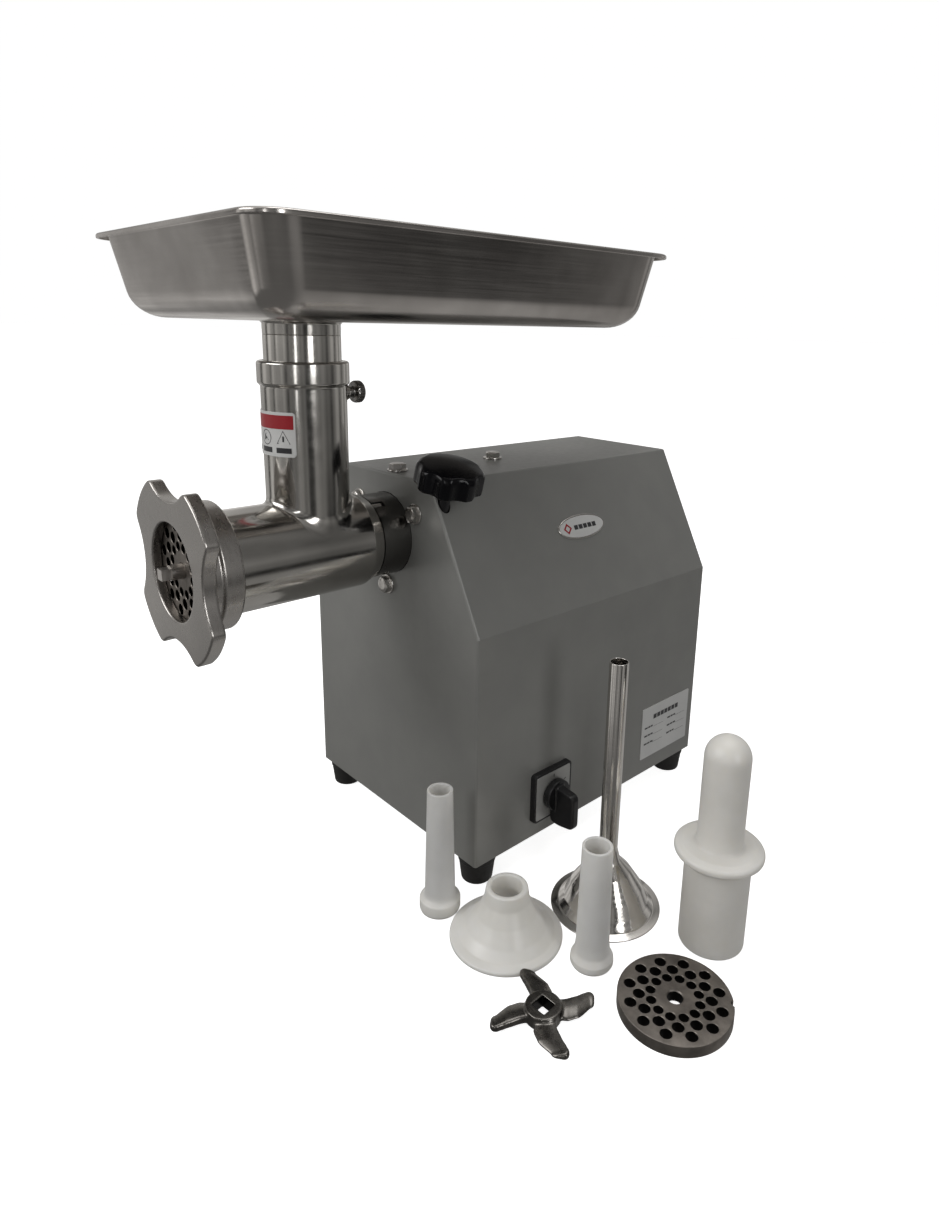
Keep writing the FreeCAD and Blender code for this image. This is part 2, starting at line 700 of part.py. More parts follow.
def gearbox_screws():
    screws = []
    for i, (x, z) in enumerate(lug_spots()):
        head = cylinder(f"case_screw_head{i}", 4, 4, x, COVER_BACK, z, ALONG_Y)
        shank = cylinder(f"case_screw_shank{i}", 2, 24, x, COVER_BACK - 24, z, ALONG_Y)
        screws.append(fuse(f"case_screw{i}", head, shank))
    return group("case_screws", screws)


def bearing(name, outer, bore, width, y, z):
    """A shielded ball bearing, with the step of its shield on each face."""
    outer = outer - 0.03
    step = (outer - bore) * 0.3
    dish = 0.8
    corners = [
        (bore, 0), (bore + step, 0), (bore + step, dish), (outer - step, dish), (outer - step, 0),
        (outer, 0), (outer, width), (outer - step, width), (outer - step, width - dish),
        (bore + step, width - dish), (bore + step, width), (bore, width),
    ]
    return turned(name, corners, 0, y, z, ALONG_Y)


def bearings():
    big_bore = S.front_journal + S.running_fit
    bore = S.bearing_bore + S.running_fit
    edge = S.seal_radius
    wide = S.bearing_width
    rim = S.bearing_radius
    idler_y = INNER_FRONT + S.case_front_wall
    output = [
        bearing("output_front", edge, big_bore, S.front_bearing_width, SEAL_BACK, S.auger_height),
        bearing("output_rear", rim, bore, wide, CASE_BACK, S.auger_height),
    ]
    idler = [
        bearing("idler_front", rim, bore, wide, idler_y, IDLER_HEIGHT),
        bearing("idler_rear", rim, bore, wide, CASE_BACK, IDLER_HEIGHT),
    ]
    motor = [
        bearing("motor_front", rim, bore, wide, CASE_BACK, MOTOR_HEIGHT),
        bearing("motor_rear", rim, bore, wide, BELL_FRONT, MOTOR_HEIGHT),
    ]
    return group("output_pair", output), group("idler_pair", idler), group("motor_pair", motor)


def oil_seal():
    lip = S.drive_hub_radius + S.running_fit
    return tube("seal", S.seal_radius, lip, S.seal_width, 0, SOCKET_FLOOR, S.auger_height, ALONG_Y)


# -------------------------------------------------------------------------------- gear train

OUTPUT_GEAR_Y = BOSS_BACK + 2
IDLER_GEAR_Y = OUTPUT_GEAR_Y + S.gear_width + 2


def output_shaft():
    """The drive shaft: hub with the square socket, journals and gear seat."""
    hub = cylinder("drive_hub", S.drive_hub_radius, S.seal_width + 2, 0, SOCKET_FLOOR - 2,
                   S.auger_height, ALONG_Y)
    seat_length = OUTPUT_GEAR_Y + S.gear_width - SEAL_BACK
    seat = cylinder("drive_seat", S.front_journal, seat_length, 0, SEAL_BACK, S.auger_height, ALONG_Y)
    tail_y = OUTPUT_GEAR_Y + S.gear_width
    tail = cylinder("drive_tail", S.bearing_bore, CASE_BACK + S.bearing_width - tail_y, 0, tail_y,
                    S.auger_height, ALONG_Y)
    half = S.drive_square / 2 + 0.15
    socket = box("drive_socket", (-half, SOCKET_FLOOR - 4, S.auger_height - half),
                 (half, SOCKET_FLOOR - 2 + S.drive_depth, S.auger_height + half))
    return cut("output", fuse("output_solid", hub, seat, tail), socket)


def idler_shaft():
    """The second shaft, with its small gear cut in one piece with it."""
    small_half = S.small_teeth * S.tooth_module_low / 2
    front_y = INNER_FRONT + S.case_front_wall
    front = cylinder("idler_nose", S.bearing_bore, OUTPUT_GEAR_Y - front_y, 0, front_y, IDLER_HEIGHT,
                     ALONG_Y)
    middle_y = OUTPUT_GEAR_Y + S.gear_width
    middle = cylinder("idler_seat_rod", 9, IDLER_GEAR_Y + S.idler_gear_width - middle_y, 0, middle_y,
                      IDLER_HEIGHT, ALONG_Y)
    tail_y = IDLER_GEAR_Y + S.idler_gear_width
    tail = cylinder("idler_tail", S.bearing_bore, CASE_BACK + S.bearing_width - tail_y, 0, tail_y,
                    IDLER_HEIGHT, ALONG_Y)
    teeth = gear("idler_pinion", S.tooth_module_low, S.small_teeth, 0, S.gear_width, IDLER_HEIGHT,
                 OUTPUT_GEAR_Y, TOOTH_UP)
    return fuse("idler", front, middle, tail, teeth)


TOOTH_UP = -90
GAP_DOWN_OUTPUT = 90 + 180 / cells["output_teeth"]
GAP_DOWN_IDLER = 90 + 180 / cells["idler_teeth"]


def motor_shaft():
    """The motor's shaft, with the first small gear cut on its nose."""
    nose = gear("motor_pinion", S.tooth_module_high, S.small_teeth, 0, S.idler_gear_width + 0.5,
                MOTOR_HEIGHT, IDLER_GEAR_Y - 0.25, TOOTH_UP)
    start = IDLER_GEAR_Y + S.idler_gear_width
    rod = cylinder("motor_rod", S.bearing_bore, BELL_BACK + S.fan_width + 6 - start, 0, start,
                   MOTOR_HEIGHT, ALONG_Y)
    return fuse("motor_spindle", nose, rod)


# -------------------------------------------------------------------------------- motor

FRAME_BACK = COVER_BACK + S.motor_length
BELL_FRONT = FRAME_BACK
BELL_BACK = FRAME_BACK + S.bell_thickness
STATOR_FRONT = COVER_BACK + (S.motor_length - S.stator_length) / 2


def tie_spots():
    across = S.tie_radius * cosine(60)
    up = S.tie_radius * sine(60)
    return [(sx * across, MOTOR_HEIGHT + sz * up) for sx in (-1, 1) for sz in (-1, 1)]


def motor_frame():
    """A tube with cooling ribs down its two sides."""
    inner = S.motor_radius - S.motor_wall
    barrel = tube("frame_tube", S.motor_radius, inner, S.motor_length, 0, COVER_BACK, MOTOR_HEIGHT, ALONG_Y)
    ribs = []
    for i in range(7):
        z = MOTOR_HEIGHT + (i - 3) * 9
        for side in (-1, 1):
            near = side * (S.motor_radius - 8)
            far = side * (S.motor_radius + 5)
            low_x, high_x = (far, near) if side < 0 else (near, far)
            ribs.append(box(f"rib{i}_{side}", (low_x, COVER_BACK + 6, z - 1),
                            (high_x, FRAME_BACK - 6, z + 1)))
    core = cylinder("frame_core", inner, S.motor_length + 4, 0, COVER_BACK - 2, MOTOR_HEIGHT, ALONG_Y)
    return cut("frame", fuse("frame_ribbed", barrel, *ribs), core)


def stator_and_coils():
    outer = S.motor_radius - S.motor_wall
    core = tube("stator", outer, S.stator_bore, S.stator_length, 0, STATOR_FRONT, MOTOR_HEIGHT, ALONG_Y)
    rings = []
    for i, y in enumerate((STATOR_FRONT - S.coil_length, STATOR_FRONT + S.stator_length)):
        ring = tube(f"coil{i}", outer - 5, S.stator_bore + 4, S.coil_length, 0, y, MOTOR_HEIGHT, ALONG_Y)
        round_edges(ring, 3, lambda edge: isinstance(edge.Curve, Part.Circle))
        rings.append(ring)
    return core, group("coils", rings)


def rotor_core():
    outer = S.stator_bore - S.rotor_gap
    return tube("rotor", outer, S.bearing_bore, S.stator_length, 0, STATOR_FRONT, MOTOR_HEIGHT, ALONG_Y)


def motor_bell():
    disc = cylinder("bell_disc", S.flange_radius, S.bell_thickness, 0, BELL_FRONT, MOTOR_HEIGHT, ALONG_Y)
    tools = [
        cylinder("bell_seat", S.bearing_radius, S.bearing_width + 2, 0, BELL_FRONT - 2, MOTOR_HEIGHT,
                 ALONG_Y),
        cylinder("bell_pass", S.bearing_bore + 0.8, 30, 0, BELL_FRONT - 2, MOTOR_HEIGHT, ALONG_Y),
    ]
    for i, (x, z) in enumerate(tie_spots()):
        tools.append(cylinder(f"bell_hole{i}", 2.7, 30, x, BELL_FRONT - 4, z, ALONG_Y))
    for i in range(6):
        angle = 60 * i
        x = 38 * cosine(angle)
        z = MOTOR_HEIGHT + 38 * sine(angle)
        tools.append(cylinder(f"bell_vent{i}", 8, 30, x, BELL_FRONT - 4, z, ALONG_Y))
    return cut("bell", disc, *tools)


def motor_tie_bolts():
    bolts = []
    for i, (x, z) in enumerate(tie_spots()):
        head = cylinder(f"tie_head{i}", 4.2, 4, x, BELL_BACK, z, ALONG_Y)
        shank = cylinder(f"tie_shank{i}", 2.1, BELL_BACK - COVER_BACK + 8, x, COVER_BACK - 8, z, ALONG_Y)
        bolts.append(fuse(f"tie{i}", head, shank))
    return group("ties", bolts)


def cooling_fan():
    """Seven straight blades on a hub at the motor's tail."""
    y = BELL_BACK + 3
    hub = cylinder("fan_hub", 13, S.fan_width, 0, y, MOTOR_HEIGHT, ALONG_Y)
    disc = cylinder("fan_disc", S.fan_radius, 1.6, 0, y + S.fan_width - 1.6, MOTOR_HEIGHT, ALONG_Y)
    blades = []
    for i in range(7):
        blade = doc.addObject("Part::Box", f"fan_blade{i}")
        bind(blade, Length=S.fan_radius - 10, Width=S.fan_width, Height=2)
        angle = 360 / 7 * i
        place(blade, 10 * cosine(angle), y, MOTOR_HEIGHT + 10 * sine(angle),
              Rotation(Vector(0, 1, 0), -angle))
        blades.append(blade)
    bore = cylinder("fan_bore", S.bearing_bore, 60, 0, y - 10, MOTOR_HEIGHT, ALONG_Y)
    return cut("fan", fuse("fan_solid", hub, disc, *blades), bore)


def motor_hanger():
    """The bracket that hangs the motor from the roof's rear bolt."""
    y = top_bolt_spots()[1]
    thick = 3
    top = box("hanger_top", (-20, y - 12, ROOF_INNER - thick), (20, y + 14, ROOF_INNER))
    post = box("hanger_post", (-20, y + 11, MOTOR_HEIGHT + 40), (20, y + 14, ROOF_INNER))
    shelf_low = MOTOR_HEIGHT + 40
    saddle = box("hanger_saddle", (-20, y - 12, shelf_low), (20, y + 14, MOTOR_HEIGHT + S.motor_radius + 4))
    around_motor = cylinder("hanger_curve", S.motor_radius + 0.1, 80, 0, y - 40, MOTOR_HEIGHT, ALONG_Y)
    thread = cylinder("hanger_thread", S.bolt_radius + 0.1, 20, 0, y, ROOF_INNER - 12)
    return cut("hanger", fuse("hanger_solid", top, post, saddle), around_motor, thread)


def capacitor_and_clip():
    floor = S.housing_floor + S.sheet + S.base_thickness
    x = -58
    y = 10
    z = floor + S.cap_radius + 2
    can = cylinder("cap_can", S.cap_radius, S.cap_length, x, y, z, ALONG_Y)
    tabs = [box(f"cap_tab{i}", (x + dx - 1, y - 7, z - 3), (x + dx + 1, y, z + 3)) for i,
            dx in enumerate((-7, 7))]
    capacitor = fuse("cap", can, *tabs)
    band = tube("clip_band", S.cap_radius + 1.7, S.cap_radius + 0.1, 16, x, y + 28, z, ALONG_Y)
    foot = box("clip_foot", (x - 30, y + 28, floor), (x + 30, y + 44, floor + 1.6))
    neck = box("clip_neck", (x - 4, y + 28, floor), (x + 4, y + 44, floor + 2))
    inside = cylinder("clip_inside", S.cap_radius + 0.1, 40, x, y + 20, z, ALONG_Y)
    return capacitor, cut("clip", fuse("clip_solid", band, foot, neck), inside)


# -------------------------------------------------------------------------------- clamp

STUD_NOSE = 10.5


def clamp_parts():
    """The stud, the shoe that its tapered nose drives against the spigot, and the scalloped knob."""
    nose_start = -4.5
    straight = nose_start + STUD_NOSE
    top = S.knob_start + S.knob_height * 0.55
    nose = cone("stud_nose", S.stud_radius - 0.8, S.stud_radius, STUD_NOSE,
                *clamp_spot(as_size(nose_start)),
                clamp_turn())
    stud = fuse("stud", nose, clamp_rod("stud_rod", S.stud_radius, straight, top - straight))
    shoe_start = S.spigot_radius + 0.4
    shoe = shoe_rod("shoe", S.shoe_radius, shoe_start, S.clamp_offset - S.stud_radius - shoe_start)
    tall = S.knob_height
    rim = S.knob_radius
    corners = [
        (0, 0), (rim - 1.8, 0), (rim, 1.8), (rim, tall - 6), (rim - 1.2, tall - 3.6),
        (rim - 4, tall - 1.8), (rim - 9, tall - 0.7), (rim - 15, tall), (0, tall),
    ]
    form = turned("knob_form", corners, *clamp_spot(S.knob_start), clamp_turn())
    tools = [clamp_rod("knob_bore", S.stud_radius, S.knob_start - 2, top - S.knob_start + 2)]
    across, y, height = clamp_spot(S.knob_start - 4)
    for k in range(int(cells["knob_lobes"])):
        angle = math.radians(360 / cells["knob_lobes"] * (k + 0.5))
        arm = clamp_turn().multVec(Vector(math.cos(angle), math.sin(angle), 0))
        reach = rim + 5.5
        spot = (across + reach * arm.x, y + reach * arm.y, height + reach * arm.z)
        tools.append(cylinder(f"scallop{k}", 7.2, tall + 8, *spot, clamp_turn()))
    return stud, shoe, cut("knob", form, *tools)


# -------------------------------------------------------------------------------- grinding head

def head_casting():
    """Barrel, neck and spigot in one casting, hollow from the neck down to the mouth."""
    axis = S.auger_height
    mouth_y = PLATE_FACE + 2.5
    thread_end = RING_BACK - 1.5
    shoulder = NECK_Y + S.neck_radius + 4
    barrel_rear_y = SOCKET_MOUTH - 0.4
    outer = fuse(
        "head_outer",
        cylinder("head_thread", S.thread_radius, thread_end - mouth_y, 0, mouth_y, axis, ALONG_Y),
        cylinder("head_front", S.barrel_front_radius, shoulder - NECK_Y + (NECK_Y - thread_end), 0,
                 thread_end, axis, ALONG_Y),
        cone("head_taper", S.barrel_front_radius, S.barrel_rear_radius, barrel_rear_y - shoulder,
             0, shoulder, axis, ALONG_Y),
        cylinder("head_spigot", S.spigot_radius, HEAD_END - barrel_rear_y, 0, barrel_rear_y, axis, ALONG_Y),
        cylinder("head_neck", S.neck_radius, S.neck_top - axis, 0, NECK_Y, axis),
        cone("neck_flare", S.neck_radius + 5, S.neck_radius, 14, 0, NECK_Y, axis + 26),
        cylinder("head_collar", S.collar_radius, S.neck_top - S.collar_foot, 0, NECK_Y, S.collar_foot),
        cylinder("thumb_boss", 6.5, S.neck_radius + 5, 0, NECK_Y, S.thumb_height, ALONG_Y),
    )
    seat_y = AUGER_FACE + 1
    tools = [
        cylinder("plate_seat", S.plate_radius + S.loose_fit, seat_y - mouth_y + 2, 0, mouth_y - 2, axis,
                 ALONG_Y),
        cylinder("head_bore", S.barrel_bore, HEAD_INNER_END - mouth_y, 0, mouth_y, axis, ALONG_Y),
        cylinder("bush_bore", S.bush_radius, 60, 0, HEAD_INNER_END - 2, axis, ALONG_Y),
        cylinder("neck_bore", S.neck_bore, S.neck_top - axis, 0, NECK_Y, axis + 1),
        cylinder("chute_bore", S.chute_radius + S.loose_fit, 60, 0, NECK_Y, S.chute_seat),
        cylinder("thumb_bore", S.thumb_radius + S.loose_fit, 60, 0, NECK_Y, S.thumb_height, ALONG_Y),
        cylinder("key_bore", S.key_radius + 0.05, KNIFE_BACK - mouth_y, 0, mouth_y - 1,
                 axis + S.plate_radius + S.loose_fit, ALONG_Y),
    ]
    across, height = locating_spot()
    tools.append(cylinder("pin_bore", S.pin_radius + 0.05, S.pin_seat + 1, across, PIN_START, height,
                          ALONG_Y))
    return cut("head", outer, *tools)


def locating_spot():
    reach = S.spigot_radius + S.pin_radius + 0.05
    return reach * cosine(S.pin_angle), S.auger_height + reach * sine(S.pin_angle)


def locating_pin():
    """The pin at the back of the barrel that sits in the socket's notch."""
    across, height = locating_spot()
    return cylinder("dowel", S.pin_radius, S.pin_seat + S.notch_depth - 2, across, PIN_START, height,
                    ALONG_Y)


def plate_key():
    height = S.auger_height + S.plate_radius + S.loose_fit
    return cylinder("key", S.key_radius, 12, 0, PLATE_FACE + 2.6, height, ALONG_Y)


def bush():
    """The auger's rear bush, with the thrust collar it turns against."""
    bore = S.journal_radius + S.running_fit
    flange = 2.4
    corners = [
        (bore, 0), (S.bush_radius + 6, 0), (S.bush_radius + 6, flange), (S.bush_radius, flange),
        (S.bush_radius, S.head_back_wall + flange), (bore, S.head_back_wall + flange),
    ]
    return turned("rear_bush", corners, 0, HEAD_INNER_END - flange, S.auger_height, ALONG_Y)


LABEL_FOOT = 314.6       # height of the label's lower edge
LABEL_TALL = 28
LABEL_FROM = -136        # degrees round the neck from +X
LABEL_SWEEP = 94


def neck_label():
    """A thin printed label wrapped part of the way round the neck."""
    sleeve = tube("label_sleeve", S.neck_radius + S.label_thickness, S.neck_radius + 0.05, LABEL_TALL,
                  0, NECK_Y, LABEL_FOOT)
    wedge = doc.addObject("Part::Cylinder", "label_wedge")
    bind(wedge, Radius=S.neck_radius * 2, Height=LABEL_TALL + 12)
    wedge.Angle = LABEL_SWEEP
    place(wedge, 0, NECK_Y, LABEL_FOOT - 5, Rotation(Vector(0, 0, 1), LABEL_FROM))
    common = doc.addObject("Part::Common", "label_piece")
    common.Base = sleeve
    common.Tool = wedge
    return common


# -------------------------------------------------------------------------------- auger and knife

def auger_screw():
    """Core, journal and square tail, with a screw flight of steady pitch."""
    axis = S.auger_height
    back = HEAD_INNER_END - 3.4
    length = back - AUGER_FACE
    core = cone("auger_core_rod", S.auger_core, S.auger_core + 3, length, 0, AUGER_FACE, axis, ALONG_Y)
    journal = cylinder("auger_journal", S.journal_radius, SOCKET_FLOOR - 4.5 - back, 0, back, axis, ALONG_Y)
    collar = cylinder("auger_collar", S.journal_radius + 7, 3, 0, back - 2.4, axis, ALONG_Y)
    half = S.drive_square / 2
    tang_end = SOCKET_FLOOR - 5 + S.drive_depth
    tang = box("auger_tang", (-half, SOCKET_FLOOR - 8, axis - half), (half, tang_end, axis + half))
    turns = (float(length) - 8) / float(S.auger_pitch)
    helix = Part.makeHelix(float(S.auger_pitch), turns * float(S.auger_pitch), float(S.auger_core))
    inside = float(S.auger_core) - 3
    thick = float(S.flight_thickness) / 2
    tip = float(S.auger_radius)
    corners = [(inside, -thick), (tip, -thick * 0.6), (tip, thick * 0.6), (inside, thick), (inside, -thick)]
    section = Part.makePolygon([Vector(r, 0, height) for r, height in corners])
    shell = Part.Wire(helix.Edges).makePipeShell([section], True, True)
    flight = doc.addObject("Part::Feature", "auger_flight")
    flight.Shape = shell
    place(flight, 0, AUGER_FACE + thick, axis, ALONG_Y)
    bore = cylinder("auger_thread", 4, 22, 0, AUGER_FACE - 2, axis, ALONG_Y)
    solid = fuse("auger_solid", core, journal, collar, tang, flight)
    return cut("auger_all", solid, bore)


def auger_pin():
    """The stud in the auger's nose: square for the knife, round for the plate, squared tip."""
    axis = S.auger_height
    stem = cylinder("pin_stem", 3.95, 18, 0, AUGER_FACE, axis, ALONG_Y)
    half = S.knife_square / 2 - 0.15
    square = box("pin_square", (-half, PLATE_BACK + 0.4, axis - half), (half, AUGER_FACE, axis + half))
    nose_y = RING_FACE - S.pin_reach
    rod = cylinder("pin_rod", S.plate_bore - S.running_fit, PLATE_BACK + 0.5 - nose_y, 0, nose_y, axis,
                   ALONG_Y)
    flats = []
    for side in (-1, 1):
        near = side * 3.4
        far = side * 8
        low, high = (far, near) if side < 0 else (near, far)
        flats.append(box(f"pin_flat_x{side}", (low, nose_y - 1, axis - 8), (high, nose_y + 6, axis + 8)))
        flats.append(box(f"pin_flat_z{side}", (-8, nose_y - 1, axis + low), (8, nose_y + 6, axis + high)))
    return cut("pin", fuse("pin_solid", stem, square, rod), *flats)


DIAGONAL_HALF = 0.70711  # half a square's diagonal, as a share of its side


def knife(name, x, y, z, turn):
    """A four-armed knife, its cutting face up, with the corners of its square hole at the arms."""
    body = new_body(name)
    pad(body, circle(new_sketch(body, "XY_Plane"), S.knife_hub_radius), S.knife_thickness)
    arm = [
        (5, -5.5), (KNIFE_RADIUS - 20.4, -4.5), (KNIFE_RADIUS - 13.4, -1.5), (KNIFE_RADIUS - 4.9, 3),
        (KNIFE_RADIUS - 1, 8), (KNIFE_RADIUS - 3.4, 12.5), (KNIFE_RADIUS - 10.4, 8.8),
        (KNIFE_RADIUS - 18.4, 6), (5, 5.5),
    ]
    sketch = outline(new_sketch(body, "XY_Plane", S.knife_thickness - 5), arm)
    blade = pad(body, sketch, 5)
    doc.recompute()
    around(body, blade, sketch, 4)
    corner = S.knife_square * DIAGONAL_HALF
    square = [(corner, 0), (0, corner), (-corner, 0), (0, -corner)]
    body.Tip = pocket(body, outline(new_sketch(body, "XY_Plane"), square), S.knife_thickness + 1,
                      reverse=True)
    return place(body, x, y, z, turn)


def perforated_plate(name, x, y, z, turn):
    """A cutting plate: a shaft hole, three rings of twelve holes and a key notch in its rim."""
    body = new_body(name)
    sketch = circle(new_sketch(body, "XY_Plane"), S.plate_radius)
    circle(sketch, S.plate_bore)
    pad(body, sketch, S.plate_thickness)
    for ring, (share, phase) in enumerate(((0.43, 15), (0.62, 0), (0.80, 15))):
        radius = S.plate_radius * share
        spot = new_sketch(body, "XY_Plane")
        circle(spot, S.plate_hole * (1 if ring else 0.85), radius * cosine(phase), radius * sine(phase))
        hole = pocket(body, spot, S.plate_thickness + 1, reverse=True)
        doc.recompute()
        around(body, hole, spot, 12)
    notch = circle(new_sketch(body, "XY_Plane"), S.key_radius + S.loose_fit, 0,
                   S.plate_radius + S.loose_fit)
    body.Tip = pocket(body, notch, S.plate_thickness + 1, reverse=True)
    return place(body, x, y, z, turn)


def ring_nut():
    """The scalloped ring that holds the plate in the barrel's mouth."""
    axis = S.auger_height
    disc = cylinder("ring_disc", S.ring_lobe_radius, S.ring_flange, 0, RING_FACE, axis, ALONG_Y)
    scallops = []
    distance = S.ring_scallop_floor + S.ring_scallop_radius
    for k, (sx, sz) in enumerate(((1, 0), (-1, 0), (0, 1), (0, -1))):
        scallops.append(cylinder(f"ring_scallop{k}", S.ring_scallop_radius, S.ring_flange + 4,
                                 sx * distance, RING_FACE - 2, axis + sz * distance, ALONG_Y))
    lobed = cut("ring_lobed", disc, *scallops)
    doc.recompute()
    rounded = doc.addObject("Part::Fillet", "ring_rounded")
    rounded.Base = lobed
    corner = float(S.ring_corner)
    rounded.Edges = [
        (i, corner, corner) for i, e in enumerate(lobed.Shape.Edges, start=1)
        if isinstance(e.Curve, Part.Line) and abs(e.Length - float(S.ring_flange)) < 0.01
        and e.BoundBox.YLength > 1
        and math.hypot(e.BoundBox.Center.x, e.BoundBox.Center.z - float(axis)) > 50
    ]
    skirt = cylinder("ring_skirt", S.ring_skirt_radius, S.ring_length - S.ring_flange / 2, 0,
                     RING_FACE + S.ring_flange / 2, axis, ALONG_Y)
    mouth = cylinder("ring_mouth", S.ring_opening, 40, 0, RING_FACE - 2, axis, ALONG_Y)
    thread = cylinder("ring_thread", S.thread_radius + S.thread_gap, 40, 0, PLATE_FACE - 0.3, axis, ALONG_Y)
    return cut("ring", fuse("ring_solid", rounded, skirt), mouth, thread)


def thumb_screw():
    """The small screw that holds the tray's chute in the neck."""
    start = NECK_Y + S.chute_radius + S.loose_fit
    shank = cylinder("thumb_shank", S.thumb_radius, 18, 0, start, S.thumb_height, ALONG_Y)
    corners = [(0, 0), (3.2, 0), (3.2, 2), (7, 4), (7.6, 6.5), (6.5, 8.8), (4, 10), (0, 10.4)]
    knob = turned("thumb_head", corners, 0, NECK_Y + S.neck_radius + 6, S.thumb_height, ALONG_Y)
    return fuse("thumb", shank, knob)


# -------------------------------------------------------------------------------- tray

def tray_middle():
    return FRONT + S.tray_setback


def tapered_form(name, half_across, half_along, corner, bottom_round, low, height):
    """A tray-shaped solid: flared sides, rounded corners and a rounded bottom edge."""
    shrink = height * sine(S.tray_taper) / cosine(S.tray_taper)
    a = half_across - shrink
    b = half_along - shrink
    body = new_body(name)
    sketch = outline(new_sketch(body, "XY_Plane"), [(-a, -b), (a, -b), (a, b), (-a, b)])
    pad(body, sketch, height, taper=S.tray_taper)

    def upright(edge):
        return edge.BoundBox.ZLength > 1

    def underneath(edge):
        return edge.BoundBox.ZMax < 0.01

    round_edges(body, corner, upright)
    round_edges(body, bottom_round, underneath)
    return place(body, 0, tray_middle(), low)


def tray_pan():
    rim = S.tray_rim_height
    across = S.tray_width / 2 - S.tray_lip
    along = S.tray_length / 2 - S.tray_lip
    wall = S.tray_sheet
    depth = rim - S.tray_floor
    outer = tapered_form("pan_outer", across, along, S.tray_corner, S.tray_round, S.tray_floor, depth)
    inner = tapered_form("pan_inner", across - wall, along - wall, S.tray_corner - wall,
                         S.tray_round - wall, S.tray_floor + wall, depth)
    lip_height = 3.2
    lip = rounded_slab("lip", S.tray_width / 2, S.tray_length / 2, S.tray_corner * 0.9,
                       rim - lip_height, lip_height)
    under = rounded_slab("lip_under", S.tray_width / 2 - 1.2, S.tray_length / 2 - 1.2,
                         S.tray_corner * 0.9 - 1.2, rim - lip_height - 1, lip_height - wall + 1)
    solid = fuse("pan_solid", outer, cut("lip_shell", lip, under))
    hole = cylinder("pan_hole", S.chute_radius - S.chute_wall, 20, 0, NECK_Y, S.tray_floor - 5)
    return cut("pan", solid, inner, hole)


def rounded_slab(name, half_across, half_along, corner, low, height):
    body = new_body(name)
    a = half_across
    b = half_along
    pad(body, outline(new_sketch(body, "XY_Plane"), [(-a, -b), (a, -b), (a, b), (-a, b)]), height)
    round_edges(body, corner, lambda edge: edge.BoundBox.ZLength > 1)
    return place(body, 0, tray_middle(), low)


def tray_chute():
    inner = S.chute_radius - S.chute_wall
    low = S.chute_seat + 0.3
    return tube("chute", S.chute_radius, inner, S.tray_floor - low, 0, NECK_Y, low)


# -------------------------------------------------------------------------------- switch, plates

def switch_parts():
    half = S.switch_width / 2
    y = switch_y()
    z = S.switch_height
    x = as_size(SIDE)
    block = box("switch_block", (x - S.sheet - 38, y - 22, z - 22), (x - S.sheet, y + 22, z + 22))
    stem = cylinder("switch_stem", 9.5, S.sheet, x - S.sheet, y, z, ALONG_X)
    contact = fuse("switch_contact", block, stem)
    spindle_hole = cylinder("spindle_hole", 4 + S.loose_fit, 30, x - 12, y, z, ALONG_X)
    frame = box("switch_rim", (x, y - half, z - half), (x + S.switch_frame, y + half, z + half))
    inset = 3.5
    tray = box("switch_inset", (x + S.switch_frame - 0.8, y - half + inset, z - half + inset),
               (x + S.switch_frame + 1, y + half - inset, z + half - inset))
    hole = cylinder("frame_hole", 8, 20, x - 2, y, z, ALONG_X)
    face = box("face_slab", (x + S.switch_frame - 0.8, y - half + inset + 0.1, z - half + inset + 0.1),
               (x + S.switch_frame, y + half - inset - 0.1, z + half - inset - 0.1))
    face_hole = cylinder("face_hole", 8, 20, x - 2, y, z, ALONG_X)
    start = x + S.switch_frame + 0.4
    disc = cylinder("knob_disc", S.switch_knob_radius, 6, start, y, z, ALONG_X)
    arm = S.switch_handle * 0.72
    bar = box("knob_bar", (start, y - 4.2, z - arm),
              (start + S.switch_reach - 1, y + 4.2, z - arm + S.switch_handle))
    spindle = cylinder("knob_spindle", 4, 12.5, start - 12, y, z, ALONG_X)
    return (
        cut("contact_block", contact, spindle_hole), cut("frame_plate", frame, tray, hole),
        cut("face_plate", face, face_hole), fuse("knob_all", disc, bar, spindle),
    )


def rating_plate():
    y = BACK - 42.25
    z = 58
    half = S.rating_width / 2
    tall = S.rating_height / 2
    return box("rating", (SIDE, y - half, z - tall), (SIDE + S.label_thickness, y + half, z + tall))


def badge():
    """A shallow oval lens on the sloping side."""
    body = new_body("badge_form")
    sketch = new_sketch(body, "XY_Plane")
    long = S.badge_width / 2
    short = S.badge_height / 2
    oval = Part.Ellipse(Vector(0, 0, 0), float(long), float(short))
    edge = sketch.addGeometry(oval)
    sketch.exposeInternalGeometry(edge)
    pin_point(sketch, edge, 3, 0, 0)
    pad(body, sketch, 1.2)
    height = as_size(248)
    tilt = Rotation(Vector(0, 1, 0), 90 - SLOPE_TILT)
    turn = tilt.multiply(Rotation(Vector(0, 0, 1), 90))
    return place(body, slope_across(height), -3, height, turn)


# -------------------------------------------------------------------------------- accessories

PUSHER_SPOT = (SIDE + 139.3, FRONT + 90.2)
FUNNEL_SPOT = (SIDE + 69.4, FRONT + 62.9)
CONE_SPOT = (SIDE + 44.1, FRONT - 10.2)
SLIM_TUBE_SPOT = (SIDE - 6.3, FRONT - 26.9)
FLARED_TUBE_SPOT = (SIDE + 98.8, FRONT + 14.6)
SPARE_KNIFE_SPOT = (SIDE + 108.2, FRONT - 39.8)
SPARE_PLATE_SPOT = (SIDE + 157.2, FRONT + 23.9)


